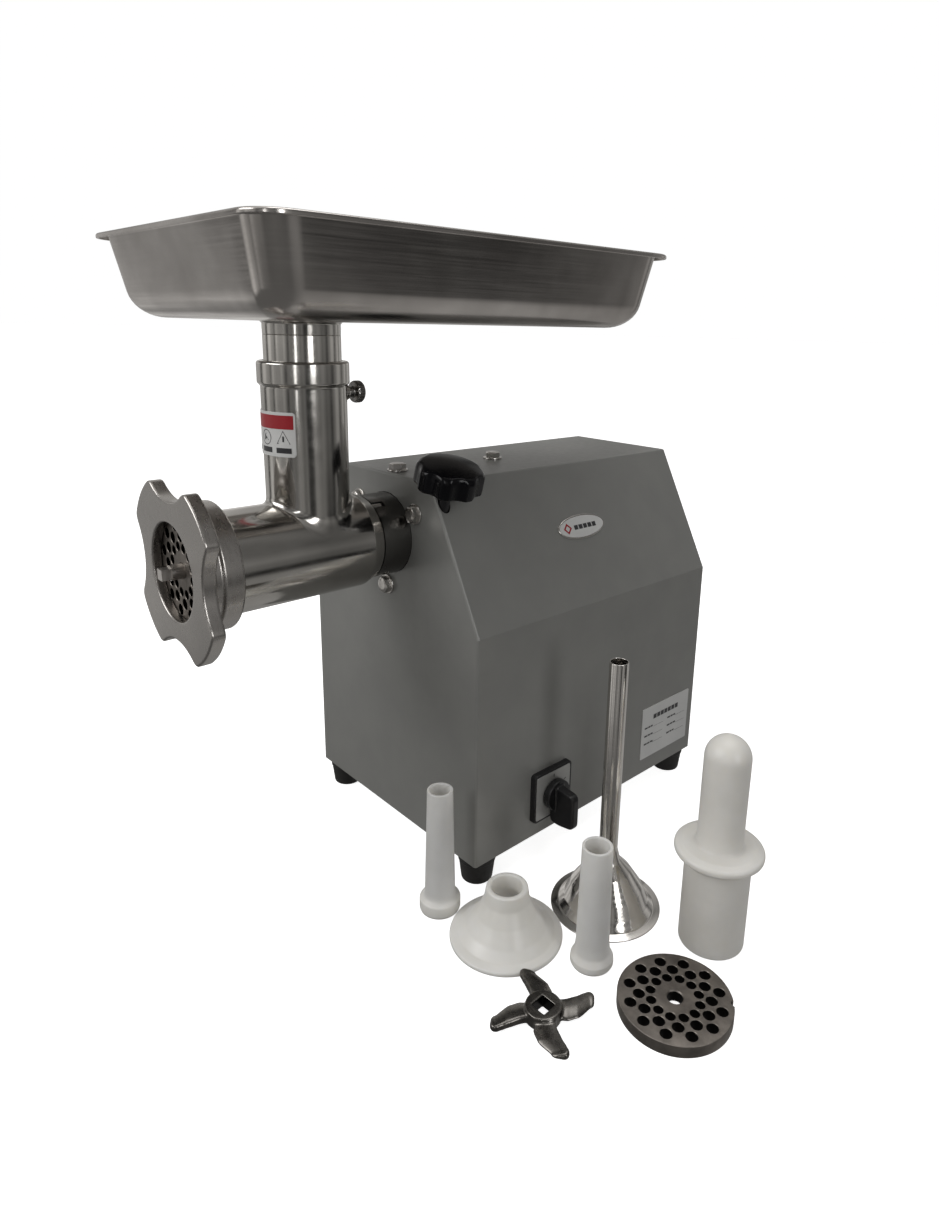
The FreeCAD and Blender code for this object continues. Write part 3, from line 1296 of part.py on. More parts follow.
def pusher():
    r = S.pusher_radius
    low = S.pusher_length
    grip = S.pusher_handle
    rim = S.pusher_flange
    top = S.pusher_top
    corners = [
        (0, 0), (r - 2, 0), (r, 2), (r, low), (rim - 3, low), (rim, low + 3), (rim, low + 6),
        (rim - 3, low + 9), (grip, low + 9), (grip, top - grip), (grip * 0.92, top - grip * 0.6),
        (grip * 0.7, top - grip * 0.28), (grip * 0.38, top - grip * 0.07), (0, top),
    ]
    return turned("stomper", corners, *PUSHER_SPOT)


def sausage_funnel():
    """A steel filling tube on a bell with a flat rim."""
    r = S.funnel_tube
    wall = S.funnel_wall
    rim = S.funnel_rim
    bell = [(rim, 0), (rim, wall), (rim - 6, wall + 1.2), (rim - 11, 9), (rim - 19, 21), (rim - 26, 29),
            (r + 2, 36), (r, 44)]
    outer = bell + [(r, S.funnel_height)]
    inner = [(r - wall, S.funnel_height), (r - wall, 43.5), (r + 0.6, 35), (rim - 27.2, 28.2),
             (rim - 20.2, 20.2),
             (rim - 12.4, 8.2), (rim - 7.6, 0)]
    return turned("funnel", outer + inner, *FUNNEL_SPOT)


def cone_adapter():
    rim = S.cone_rim
    tall = S.cone_height
    mouth = S.cone_mouth
    bore = S.cone_bore
    outer = [(rim, 0), (rim, 3), (rim - 6, 5), (rim - 12, 10), (rim - 17.5, 19),
             (mouth + 1.5, tall - 10), (mouth, tall - 2), (mouth - 1.5, tall)]
    inner = [(bore + 1, tall), (bore, tall - 2), (bore, tall - 12), (rim - 22, 17.5), (rim - 16, 8.5),
             (rim - 9.5, 2.8), (rim - 9, 0)]
    return turned("adapter", outer + inner, *CONE_SPOT)


def filling_tube(name, height, top, low, foot, foot_height, spot):
    wall = S.tube_wall
    corners = [
        (foot - wall - 2.5, 0), (foot - 1, 0), (foot, 1.5), (foot, foot_height - 1), (foot - 1,
                                                                                      foot_height),
        (low, foot_height + 2), (top, height), (top - wall, height), (low - wall, foot_height),
    ]
    return turned(name, corners, *spot)


# -------------------------------------------------------------------------------- the assembly

node("housing_shell", housing_shell())
node("base_plate", base_plate())
node("rubber_feet", rubber_feet())
node("foot_screws", foot_screws())
front_set, top_set, washer_set = bolts_and_washers()
node("front_bolts", front_set)
node("top_bolts", top_set)
node("bolt_washers", washer_set)
node("cable_gland", cable_gland())
node("gearbox_case", gearbox_case())
node("gearbox_cover", gearbox_cover())
node("gearbox_screws", gearbox_screws())
output_pair, idler_pair, motor_pair = bearings()
node("output_bearings", output_pair)
node("idler_bearings", idler_pair)
node("motor_bearings", motor_pair)
node("oil_seal", oil_seal())
node("output_shaft", output_shaft())
node("output_gear", gear("output_wheel", S.tooth_module_low, S.output_teeth, S.front_journal, S.gear_width,
                         S.auger_height, OUTPUT_GEAR_Y, GAP_DOWN_OUTPUT))
node("idler_shaft", idler_shaft())
node("idler_gear", gear("idler_wheel", S.tooth_module_high, S.idler_teeth, 9, S.idler_gear_width,
                        IDLER_HEIGHT, IDLER_GEAR_Y, GAP_DOWN_IDLER))
node("motor_frame", motor_frame())
stator, coils = stator_and_coils()
node("stator_core", stator)
node("stator_coils", coils)
node("motor_rear_bell", motor_bell())
node("motor_tie_bolts", motor_tie_bolts())
node("motor_shaft", motor_shaft())
node("rotor_core", rotor_core())
node("cooling_fan", cooling_fan())
node("motor_hanger", motor_hanger())
capacitor, clip = capacitor_and_clip()
node("capacitor", capacitor)
node("capacitor_clip", clip)
stud, shoe, knob = clamp_parts()
node("clamp_stud", stud)
node("clamp_shoe", shoe)
node("clamp_knob", knob)
node("head_casting", head_casting())
node("locating_pin", locating_pin())
node("plate_key", plate_key())
node("auger_bush", bush())
node("neck_label", neck_label())
node("auger", auger_screw())
node("auger_pin", auger_pin())
node("knife", knife("cutter", 0, KNIFE_BACK, S.auger_height, TO_FRONT.multiply(Rotation(Vector(0, 0, 1), 45))))
node("grinding_plate", perforated_plate("die", 0, PLATE_BACK, S.auger_height, TO_FRONT))
node("ring_nut", ring_nut())
node("thumb_screw", thumb_screw())
node("tray_pan", tray_pan())
node("tray_chute", tray_chute())
contact_block, frame_plate, face_plate, switch_knob = switch_parts()
node("switch_body", contact_block)
node("switch_frame", frame_plate)
node("switch_face", face_plate)
node("switch_knob", switch_knob)
node("rating_plate", rating_plate())
node("side_badge", badge())
node("meat_pusher", pusher())
node("sausage_funnel", sausage_funnel())
node("cone_adapter", cone_adapter())
node("slim_tube", filling_tube("tube_slim", S.slim_tube_height, S.slim_tube_top, as_size(10.8),
                               S.slim_tube_foot,
                               10, SLIM_TUBE_SPOT))
node("flared_tube", filling_tube("tube_flared", S.flared_tube_height, S.flared_tube_top, as_size(10.9),
                                 S.flared_tube_foot, 6, FLARED_TUBE_SPOT))
node("spare_knife", knife("loose_cutter", *SPARE_KNIFE_SPOT, 0, Rotation(Vector(0, 0, 1), -43)))
node("spare_plate", perforated_plate("loose_die", *SPARE_PLATE_SPOT, 0, Rotation(Vector(0, 0, 1), -50)))

doc.recompute()

# -------------------------------------------------------------------------------- checks, files

for thing in doc.Objects:
    if "Invalid" in thing.State or "Error" in thing.State:
        raise RuntimeError(f"{thing.Name} failed: {thing.State}")
for name, thing in nodes.items():
    if thing.Shape.isNull() or not thing.Shape.isValid() or not thing.Shape.Solids:
        raise RuntimeError(f"{name} has no valid solid")

os.makedirs("parts", exist_ok=True)
for name, thing in nodes.items():
    thing.Shape.exportStep(f"parts/{name}.step")
    print(name, len(thing.Shape.Solids), round(thing.Shape.Volume))
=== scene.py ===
"""Looks of an electric meat grinder and its loose accessories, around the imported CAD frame.

Lengths are in millimetres until a mesh is made.  +X is the switch side, -Y the grinding mouth, +Z up.
"""
import math

import bmesh
import bpy
import numpy as np
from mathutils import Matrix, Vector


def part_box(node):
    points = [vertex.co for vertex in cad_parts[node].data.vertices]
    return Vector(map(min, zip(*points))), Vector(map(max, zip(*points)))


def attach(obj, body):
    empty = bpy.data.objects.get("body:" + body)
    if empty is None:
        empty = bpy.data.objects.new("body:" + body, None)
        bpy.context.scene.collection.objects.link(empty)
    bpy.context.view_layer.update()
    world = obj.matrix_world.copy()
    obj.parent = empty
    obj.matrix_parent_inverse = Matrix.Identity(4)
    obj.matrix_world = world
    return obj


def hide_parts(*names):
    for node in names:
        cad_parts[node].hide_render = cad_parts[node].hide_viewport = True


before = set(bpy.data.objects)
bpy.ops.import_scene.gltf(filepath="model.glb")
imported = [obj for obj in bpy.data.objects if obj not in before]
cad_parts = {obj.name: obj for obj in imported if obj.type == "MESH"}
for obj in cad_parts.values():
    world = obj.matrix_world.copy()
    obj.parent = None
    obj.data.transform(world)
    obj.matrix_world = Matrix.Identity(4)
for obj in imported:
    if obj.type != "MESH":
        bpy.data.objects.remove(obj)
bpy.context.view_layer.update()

import openvdb
from mathutils import Matrix, Vector

MM = 0.001
scene = bpy.context.scene


# ---- places

def span(node):
    """Lowest and highest corner of a CAD node, in millimetres."""
    low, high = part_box(node)
    return np.array(low) / MM, np.array(high) / MM


ring_low, ring_high = span("ring_nut")
AXIS = (ring_low[2] + ring_high[2]) / 2
RING_FACE = ring_low[1]
RING_BACK = ring_high[1]
chute_low, chute_high = span("tray_chute")
NECK_Y = (chute_low[1] + chute_high[1]) / 2
head_low, head_high = span("head_casting")
shell_low, shell_high = span("housing_shell")
FRONT = shell_low[1]
SIDE = shell_high[0]
pan_low, pan_high = span("tray_pan")
plate_low, plate_high = span("grinding_plate")
Y = Vector((0, 1, 0))
Z = Vector((0, 0, 1))


# ---- node helpers

def add_node(tree, kind, **values):
    """A new shader node with its named inputs set or, where a value is a socket, linked."""
    node = tree.nodes.new(kind)
    for name, value in values.items():
        socket = node.inputs[name.replace("_", " ")]
        if isinstance(value, bpy.types.NodeSocket):
            tree.links.new(value, socket)
        else:
            socket.default_value = value
    return node


class Look:
    """One procedural material: a Principled shader and small helpers that wire its inputs."""

    def __init__(self, name, color, rough, metallic=0.0, **sockets):
        self.material = bpy.data.materials.new(name)
        self.material.use_nodes = True
        self.tree = self.material.node_tree
        self.shader = next(n for n in self.tree.nodes if n.type == "BSDF_PRINCIPLED")
        self.shader.inputs["Base Color"].default_value = (*color, 1)
        self.shader.inputs["Roughness"].default_value = rough
        self.shader.inputs["Metallic"].default_value = metallic
        for socket, value in sockets.items():
            self.shader.inputs[socket.replace("_", " ")].default_value = value
        self.place = self.tree.nodes.new("ShaderNodeTexCoord").outputs["Object"]
        self.normal = None

    def noise(self, scale, detail=4.0, roughness=0.55):
        """Noise of the piece's own coordinates, with cycles per metre along each axis."""
        scale = scale if hasattr(scale, "__len__") else (scale,) * 3
        mapping = add_node(self.tree, "ShaderNodeMapping", Vector=self.place, Scale=scale)
        return add_node(self.tree, "ShaderNodeTexNoise", Vector=mapping.outputs["Vector"], Scale=1.0,
                        Detail=detail, Roughness=roughness).outputs["Fac"]

    def stored(self, name):
        """A number that the mesh carries."""
        node = self.tree.nodes.new("ShaderNodeAttribute")
        node.attribute_name = name
        return node.outputs["Fac"]

    def rings(self, scale):
        """Noise along the profile of a turned piece, from its stored profile length."""
        noise = add_node(self.tree, "ShaderNodeTexNoise", Scale=scale, Detail=3.0)
        noise.noise_dimensions = "1D"
        self.tree.links.new(self.stored("profile_length"), noise.inputs["W"])
        return noise.outputs["Fac"]

    def spread(self, value, low, high, from_low=0.3, from_high=0.7):
        """Stretches a noise value to a range."""
        return add_node(self.tree, "ShaderNodeMapRange", Value=value, From_Min=from_low, From_Max=from_high,
                        To_Min=low, To_Max=high).outputs["Result"]

    def mixed(self, factor):
        """The two colour inputs of a mix that feeds the base colour."""
        node = add_node(self.tree, "ShaderNodeMix", Factor=factor)
        node.data_type = "RGBA"
        result = next(s for s in node.outputs if s.type == "RGBA")
        self.tree.links.new(result, self.shader.inputs["Base Color"])
        return [s for s in node.inputs if s.type == "RGBA"]

    def tint(self, value, *colours):
        """Base colour that moves between two colours with a noise value."""
        for socket, colour in zip(self.mixed(self.spread(value, 0, 1, 0.35, 0.65)), colours):
            socket.default_value = (*colour, 1)

    def rough(self, value, low, high):
        self.tree.links.new(self.spread(value, low, high), self.shader.inputs["Roughness"])

    def bump(self, value, height):
        """Adds a relief whose height is in millimetres."""
        node = add_node(self.tree, "ShaderNodeBump", Strength=1.0, Distance=height * MM, Height=value)
        if self.normal is not None:
            self.tree.links.new(self.normal, node.inputs["Normal"])
        self.normal = node.outputs["Normal"]
        self.tree.links.new(self.normal, self.shader.inputs["Normal"])


def brushed(name, light, dark, rough_low, rough_high, streak, relief=0.004, wave=0.0):
    look = Look(name, light, rough_low, 1.0)
    fine = look.noise(streak, 5.0, 0.7)
    look.rough(fine, rough_low, rough_high)
    look.tint(look.noise(14, 3.0), light, dark)
    look.bump(fine, relief)
    if wave:
        look.bump(look.noise(26, 1.0), wave)
    return look.material


def moulded(name, first, second, rough_low, rough_high, grain=900, relief=0.01, **sockets):
    look = Look(name, first, rough_low, 0.0, **sockets)
    look.tint(look.noise(30, 3.0), first, second)
    look.rough(look.noise(180, 4.0), rough_low, rough_high)
    look.bump(look.noise(grain, 3.0), relief)
    return look.material


def cast(name, first, second, rough_low, rough_high):
    look = Look(name, first, rough_low, 1.0)
    look.tint(look.noise(60, 4.0), first, second)
    grain = look.noise(700, 5.0, 0.65)
    look.rough(grain, rough_low, rough_high)
    look.bump(grain, 0.08)
    return look.material


def bored_steel(name, light, dark, rough_low, rough_high, grain, relief):
    """Worked steel with fine scratches, and painted shade, near black, on the hole walls that a face attribute
    marks.
    """
    look = Look(name, light, rough_low, 1.0)
    fine = look.noise(grain, 4.0, 0.6)
    look.tint(look.noise(90, 4.0), light, dark)
    surface = look.shader.inputs["Base Color"].links[0].from_socket
    # Painted shade inside holes: the stored face mask picks a near-black colour for the hole walls.
    plain, painted_shade = look.mixed(look.stored("painted_bore_shade"))
    look.tree.links.new(surface, plain)
    painted_shade.default_value = (0.012, 0.011, 0.010, 1)
    look.rough(fine, rough_low, rough_high)
    look.bump(fine, relief)
    return look.material


def turned_steel(name, light, dark, rough_low, rough_high, lines=1.6, relief=0.006, wave=0.0):
    look = Look(name, light, rough_low, 1.0)
    marks = look.rings(lines)
    look.rough(marks, rough_low, rough_high)
    look.tint(look.noise(22, 3.0), light, dark)
    look.bump(marks, relief)
    if wave:
        look.bump(look.noise(30, 1.0), wave)
    return look.material


TRAY_STEEL = brushed("tray_brushed_steel", (0.62, 0.59, 0.565), (0.42, 0.395, 0.375), 0.16, 0.26,
                     (12, 12, 900), 0.0008, 0.16)
CAST_STEEL = brushed("polished_casting", (0.60, 0.58, 0.55), (0.47, 0.455, 0.43), 0.09, 0.19,
                     (160, 40, 160), 0.003, 0.18)
RING_STEEL = brushed("ground_ring_steel", (0.47, 0.448, 0.425), (0.41, 0.392, 0.374), 0.25, 0.31,
                     (160, 400, 160), 0.0001)
FUNNEL_STEEL = turned_steel("drawn_funnel_steel", (0.80, 0.77, 0.74), (0.66, 0.64, 0.61), 0.08, 0.18, 0.5,
                            0.002, 0.10)
PLATE_STEEL = bored_steel("ground_plate_steel", (0.26, 0.236, 0.212), (0.17, 0.154, 0.14), 0.40, 0.54,
                          (500, 500, 80), 0.004)
KNIFE_STEEL = bored_steel("cast_knife_steel", (0.20, 0.19, 0.176), (0.12, 0.113, 0.105), 0.22, 0.32, 240,
                          0.0008)
SOCKET_STEEL = brushed("dark_socket_steel", (0.22, 0.215, 0.205), (0.15, 0.145, 0.14), 0.16, 0.28, 300, 0.002)
BOLT_STEEL = brushed("bright_bolt_steel", (0.66, 0.64, 0.61), (0.52, 0.50, 0.48), 0.14, 0.28, 500, 0.006)
SCREW_STEEL = brushed("dark_screw_steel", (0.30, 0.29, 0.28), (0.20, 0.195, 0.19), 0.16, 0.30, 500, 0.004)
ZINC = brushed("zinc_plate", (0.55, 0.55, 0.54), (0.42, 0.43, 0.44), 0.28, 0.45, 300, 0.006)
GEAR_STEEL = brushed("machined_gear_steel", (0.40, 0.40, 0.40), (0.30, 0.295, 0.29), 0.22, 0.40,
                     (300, 40, 300), 0.006)
ALUMINIUM = cast("cast_aluminium", (0.50, 0.505, 0.51), (0.40, 0.405, 0.41), 0.42, 0.62)
BRONZE = cast("sintered_bronze", (0.46, 0.30, 0.13), (0.36, 0.23, 0.10), 0.35, 0.5)
COPPER = brushed("enamelled_copper", (0.50, 0.20, 0.08), (0.36, 0.12, 0.05), 0.25, 0.4, (900, 120, 900), 0.25)
HOUSING = moulded("satin_housing_paint", (0.262, 0.262, 0.250), (0.246, 0.246, 0.236), 0.30, 0.38, 1300,
                  0.006, Metallic=0.25)
GLOSS_BLACK = moulded("gloss_black_phenolic", (0.002, 0.002, 0.003), (0.004, 0.004, 0.005), 0.12, 0.22, 60,
                      0.03, Specular_IOR_Level=0.2)
BLACK_PLASTIC = moulded("black_moulded_plastic", (0.007, 0.007, 0.008), (0.012, 0.012, 0.013), 0.28, 0.40,
                        1400, 0.006)
RUBBER = moulded("black_rubber", (0.012, 0.012, 0.012), (0.024, 0.023, 0.022), 0.55, 0.75, 800, 0.03)
SEAL = moulded("nitrile_rubber", (0.09, 0.035, 0.02), (0.06, 0.025, 0.015), 0.5, 0.65, 800, 0.02)
WHITE = moulded("white_polyethylene", (0.78, 0.765, 0.73), (0.72, 0.705, 0.665), 0.28, 0.40, 500, 0.006,
                Subsurface_Weight=0.6, Subsurface_Scale=0.012, Subsurface_Radius=(1.0, 0.95, 0.85))
PAPER = moulded("label_film", (0.62, 0.62, 0.61), (0.57, 0.57, 0.565), 0.30, 0.42, 300, 0.004)
INK = moulded("black_ink", (0.025, 0.025, 0.028), (0.05, 0.05, 0.052), 0.35, 0.5, 300, 0.002)
RED_INK = moulded("red_ink", (0.33, 0.012, 0.02), (0.27, 0.010, 0.016), 0.3, 0.42, 300, 0.002)
FACE_METAL = moulded("switch_face_metal", (0.40, 0.40, 0.39), (0.35, 0.35, 0.34), 0.30, 0.42, 900, 0.002,
                     Metallic=0.35)
PIN_STEEL = brushed("turned_pin_steel", (0.80, 0.77, 0.73), (0.66, 0.63, 0.60), 0.26, 0.38, 300, 0.002)
BLACK_OXIDE = brushed("black_oxide_steel", (0.05, 0.05, 0.052), (0.03, 0.03, 0.032), 0.30, 0.45, 400, 0.003)
FLOOR = moulded("pale_floor", (0.80, 0.80, 0.795), (0.785, 0.785, 0.78), 0.75, 0.85, 40, 0.02,
                Emission_Color=(1, 1, 1, 1), Emission_Strength=0.86, Specular_IOR_Level=0.0)
BACKDROP = moulded("pale_backdrop", (0, 0, 0), (0, 0, 0), 0.9, 1.0, 40, 0.0, Emission_Color=(1, 1, 1, 1),
                   Emission_Strength=1.0)


# ---- mesh helpers

WELD = 2e-6


def new_mesh(name, points, faces):
    """A mesh from points in millimetres."""
    mesh = bpy.data.meshes.new(name)
    mesh.from_pydata((np.asarray(points, float) * MM).tolist(), [], faces)
    return mesh


def welded(mesh):
    """Joins a mesh's doubled points and turns its faces outwards."""
    work = bmesh.new()
    work.from_mesh(mesh)
    bmesh.ops.remove_doubles(work, verts=work.verts, dist=WELD)
    bmesh.ops.recalc_face_normals(work, faces=work.faces)
    work.to_mesh(mesh)
    work.free()


def linked(name, data):
    thing = bpy.data.objects.new(name, data)
    scene.collection.objects.link(thing)
    return thing


def piece(name, points, faces, material, body, stands_for=(), normals=None, sharp=38, lengths=None):
    """A mesh piece in the row frame that rides on a body."""
    mesh = new_mesh(name, points, faces)
    if lengths is not None:
        mesh.attributes.new("profile_length", "FLOAT", "POINT").data.foreach_set("value", lengths)
    if normals is None:
        welded(mesh)
    mesh.polygons.foreach_set("use_smooth", [True] * len(mesh.polygons))
    if normals is None:
        mesh.set_sharp_from_angle(angle=math.radians(sharp))
    else:
        mesh.normals_split_custom_set_from_vertices(normals)
    mesh.materials.append(material)
    thing = linked(name, mesh)
    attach(thing, body)
    if stands_for:
        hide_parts(*stands_for)
    return thing


def softened(corners, closed=False, steps=5):
    """Rounds the corners of an outline.  A corner is (a, b) or (a, b, radius)."""
    count = len(corners)
    result = []
    for i, corner in enumerate(corners):
        here = np.array(corner[:2], float)
        radius = corner[2] if len(corner) > 2 else 0
        if radius <= 0 or (not closed and i in (0, count - 1)):
            result.append(here)
            continue
        before = np.array(corners[i - 1][:2], float)
        after = np.array(corners[(i + 1) % count][:2], float)
        into, out = before - here, after - here
        reach_in, reach_out = np.linalg.norm(into), np.linalg.norm(out)
        into, out = into / reach_in, out / reach_out
        half = math.acos(float(np.clip(into @ out, -1, 1))) / 2
        if half > math.pi / 2 - 0.02:
            result.append(here)
            continue
        back = min(radius / math.tan(half), reach_in * 0.49, reach_out * 0.49)
        radius = back * math.tan(half)
        middle = here + (into + out) / np.linalg.norm(into + out) * radius / math.sin(half)
        start, end = here + into * back - middle, here + out * back - middle
        turn = math.atan2(start[0] * end[1] - start[1] * end[0], float(start @ end))
        for k in range(steps + 1):
            c, s = math.cos(turn * k / steps), math.sin(turn * k / steps)
            result.append(middle + [c * start[0] - s * start[1], s * start[0] + c * start[1]])
    return np.array(result)


def frame_of(axis):
    """Two unit vectors square to an axis, and the axis."""
    axis = Vector(axis).normalized()
    side = axis.orthogonal().normalized()
    return np.array(side), np.array(axis.cross(side)), np.array(axis)


def loft(rows, closed_rows=False):
    """Faces between equal rings of points; rows is (rings, points, 3)."""
    rings, around = rows.shape[:2]
    faces = []
    for i in range(rings if closed_rows else rings - 1):
        a, b = i * around, ((i + 1) % rings) * around
        for j in range(around):
            k = (j + 1) % around
            faces.append((a + j, a + k, b + k, b + j))
    return faces


def turned_mesh(profile, middle, axis, segments):
    """Rings of points from (radius, height) rows turned about an axis."""
    side, up, along = frame_of(axis)
    angles = np.arange(segments) * 2 * math.pi / segments
    spokes = np.cos(angles)[:, None] * side + np.sin(angles)[:, None] * up
    return np.array(middle, float) + profile[:, :1, None] * spokes[None] + profile[:, 1, None, None] * along


def lathe(name, corners, middle, axis, material, body, stands_for=(), segments=96, closed=False, steps=5):
    """A turned piece from (radius, height, corner radius) corners along an axis."""
    profile = softened(corners, closed, steps)
    rows = turned_mesh(profile, middle, axis, segments)
    length = np.concatenate([[0], np.cumsum(np.linalg.norm(np.diff(profile, axis=0), axis=1))])
    return piece(name, rows.reshape(-1, 3), loft(rows, closed), material, body, stands_for,
                 lengths=np.repeat(length, segments).astype(np.float32))


def rounded_rect(half_a, half_b, corner, steps=10, sides=(14, 20)):
    """Points of a rounded rectangle, the same number whatever its size."""
    points = []
    spots = [(1, 1, 0), (-1, 1, 90), (-1, -1, 180), (1, -1, 270)]
    for index, (sa, sb, start) in enumerate(spots):
        centre = np.array([sa * (half_a - corner), sb * (half_b - corner)])
        for k in range(steps + 1):
            angle = math.radians(start + 90 * k / steps)
            points.append(centre + corner * np.array([math.cos(angle), math.sin(angle)]))
        na, nb, _ = spots[(index + 1) % 4]
        angle = math.radians(start + 90)
        target = np.array([na * (half_a - corner), nb * (half_b - corner)])
        target = target + corner * np.array([math.cos(angle), math.sin(angle)])
        last = points[-1]
        count = sides[index % 2]
        points += [last + (target - last) * k / count for k in range(1, count)]
    return np.array(points)


def soft_min(a, b, width):
    share = np.clip(0.5 + 0.5 * (b - a) / width, 0, 1)
    return b + (a - b) * share - width * share * (1 - share)


def soft_max(a, b, width):
    return -soft_min(-a, -b, width)


def rod(radial, along, radius, low, high, edge=0.8):
    """Distance field of a round bar with softened ends."""
    return soft_max(radial - radius, np.abs(along - (low + high) / 2) - (high - low) / 2, edge)


def surface_of(field, low, high, pitch, soften=0):
    """Points, faces and normals of a distance field's zero surface.

    The points slide onto the surface in a few Newton steps.  soften averages them over their neighbours.
    """
    low, high = np.array(low, float), np.array(high, float)
    axes = [a + pitch * np.arange(math.ceil((b - a) / pitch) + 1) for a, b in zip(low, high)]
    values = field(axes[0][:, None, None], axes[1][None, :, None], axes[2][None, None, :])
    values = np.broadcast_to(values, [len(a) for a in axes])
    grid = openvdb.FloatGrid(background=3 * pitch)
    grid.copyFromArray(np.ascontiguousarray(np.clip(values, -3 * pitch, 3 * pitch), dtype=np.float32))
    points, faces = grid.convertToQuads(isovalue=0.0)
    points = low + np.asarray(points, float) * pitch

    def gradient(p):
        step = 0.04
        columns = []
        for i in range(3):
            ahead, behind = p.copy(), p.copy()
            ahead[:, i] += step
            behind[:, i] -= step
            columns.append((field(*ahead.T) - field(*behind.T)) / (2 * step))
        return np.stack(columns, 1)

    for _ in range(4):
        slope = gradient(points)
        size = np.maximum((slope ** 2).sum(1), 0.05)
        move = -(field(*points.T) / size)[:, None] * slope
        far = np.maximum(np.linalg.norm(move, axis=1) / (pitch * 0.5), 1)[:, None]
        points = points + move / far
    normals = gradient(points)
    normals /= np.maximum(np.linalg.norm(normals, axis=1), 1e-9)[:, None]
    faces = np.asarray(faces)
    a, b, c = (points[faces[:, i]] for i in range(3))
    facing = (np.cross(b - a, c - b) * normals[faces[:, 0]]).sum(1)
    if np.median(facing) < 0:
        faces = faces[:, ::-1]
    ends = np.concatenate([faces[:, [i, (i + 1) % 4]] for i in range(4)])
    ends = np.concatenate([ends, ends[:, ::-1]])
    count = np.bincount(ends[:, 0], minlength=len(points))[:, None]
    for _ in range(soften):
        for values in (points, normals):
            total = np.stack([np.bincount(ends[:, 0], values[ends[:, 1], i], len(points)) for i in range(3)], 1)
            values += 0.5 * (total / np.maximum(count, 1) - values)
    normals /= np.maximum(np.linalg.norm(normals, axis=1), 1e-9)[:, None]
    return points, faces.tolist(), normals


def field_piece(name, field, low, high, pitch, material, body, stands_for=(), turn=None):
    """A piece made from a distance field, put in place by a matrix if it has one."""
    points, faces, normals = surface_of(field, low, high, pitch)
    if turn is not None:
        matrix = np.array(turn)
        points = points @ matrix[:3, :3].T + matrix[:3, 3]
        normals = normals @ matrix[:3, :3].T
    return piece(name, points, faces, material, body, stands_for, normals=normals.tolist())


def carved(base, tools, operation="DIFFERENCE"):
    """Points and faces of a helper mesh after others have cut it; the helpers are removed."""
    for i, tool in enumerate(tools):
        cutter = base.modifiers.new(f"cut{i}", "BOOLEAN")
        cutter.object = tool
        cutter.operation = operation
        cutter.solver = "EXACT"
    bpy.context.view_layer.update()
    mesh = bpy.data.meshes.new_from_object(base.evaluated_get(bpy.context.evaluated_depsgraph_get()))
    points = np.zeros(len(mesh.vertices) * 3)
    mesh.vertices.foreach_get("co", points)
    faces = [tuple(p.vertices) for p in mesh.polygons]
    for thing in (base, *tools):
        bpy.data.objects.remove(thing)
    bpy.data.meshes.remove(mesh)
    return points.reshape(-1, 3) / MM, faces


def helper(points, faces):
    """A mesh that is only used to cut with."""
    mesh = new_mesh("helper", points, faces)
    welded(mesh)
    return linked("helper", mesh)


def merged(parts):
    """Joins (points, faces) pairs into one."""
    points, faces = [], []
    for some, theirs in parts:
        start = sum(len(p) for p in points)
        points.append(np.asarray(some, float))
        faces += [tuple(start + i for i in face) for face in theirs]
    return np.vstack(points), faces


def turned_part(corners, middle, axis, segments=64, closed=False, steps=4):
    """Points and faces of a turned solid, to merge or to cut with."""
    rows = turned_mesh(softened(corners, closed, steps), middle, axis, segments)
    return rows.reshape(-1, 3), loft(rows, closed)


# ---- the head

BARREL_FRONT, BARREL_REAR, SPIGOT = 33.5, 30.0, 26.0
SOCKET_MOUTH = FRONT - 22.4
SHOULDER = NECK_Y + 31.3
THREAD, THREAD_BACK = 37.9, RING_BACK - 1.5
NECK, COLLAR, THROAT, CHUTE_BORE = 27.3, 29.2, 22.5, 24.8
COLLAR_FOOT = head_high[2] - 14
CHUTE_SEAT = chute_low[2] - 0.3
BOSS, THUMB_BORE, THUMB_Z = 5.4, 3.2, 352
PLATE_SEAT, AUGER_BORE, BACK_BORE = 35.3, 26.5, 15.6
BORE_END, BACK_BORE_START = -160.5, -165
PAST = 9  # how far a cut runs past the face that it opens


def head_field(x, y, z):
    """The casting: barrel, neck, collar, screw boss and spigot, hollow inside."""
    around_barrel = np.hypot(x, z - AXIS)
    around_neck = np.hypot(x, y - NECK_Y)
    around_boss = np.hypot(x, z - THUMB_Z)
    radius = np.interp(y, [SHOULDER, SOCKET_MOUTH], [BARREL_FRONT, BARREL_REAR])
    barrel = soft_max(around_barrel - radius, np.maximum(THREAD_BACK - 1 - y, y - SOCKET_MOUTH), 1.0)
    neck = rod(around_neck, z, NECK, AXIS, head_high[2], 0.8)
    body = soft_min(barrel, neck, 4.5)
    body = soft_min(body, rod(around_neck, z, COLLAR, COLLAR_FOOT, head_high[2], 1.4), 2.2)
    body = soft_min(body, rod(around_boss, y, BOSS, NECK_Y + 20, NECK_Y + NECK + 5, 1.2), 3.0)
    body = np.minimum(body, rod(around_barrel, y, THREAD, head_low[1], THREAD_BACK, 0.8))
    body = np.minimum(body, rod(around_barrel, y, SPIGOT, SOCKET_MOUTH - 4, head_high[1], 0.8))
    holes = (
        (around_barrel, y, PLATE_SEAT, head_low[1] - PAST, THREAD_BACK - 1, 0.3),
        (around_barrel, y, AUGER_BORE, head_low[1] - PAST, BORE_END, 0.3),
        (around_barrel, y, BACK_BORE, BACK_BORE_START, head_high[1] + PAST, 0.3),
        (around_neck, z, THROAT, AXIS + 1, head_high[2] + PAST, 0.3),
        (around_neck, z, CHUTE_BORE, CHUTE_SEAT, head_high[2] + PAST, 0.3),
        (around_boss, y, THUMB_BORE, NECK_Y, NECK_Y + 60, 0.2),
    )
    for hole in holes:
        body = soft_max(body, -rod(*hole), 0.7)
    return body


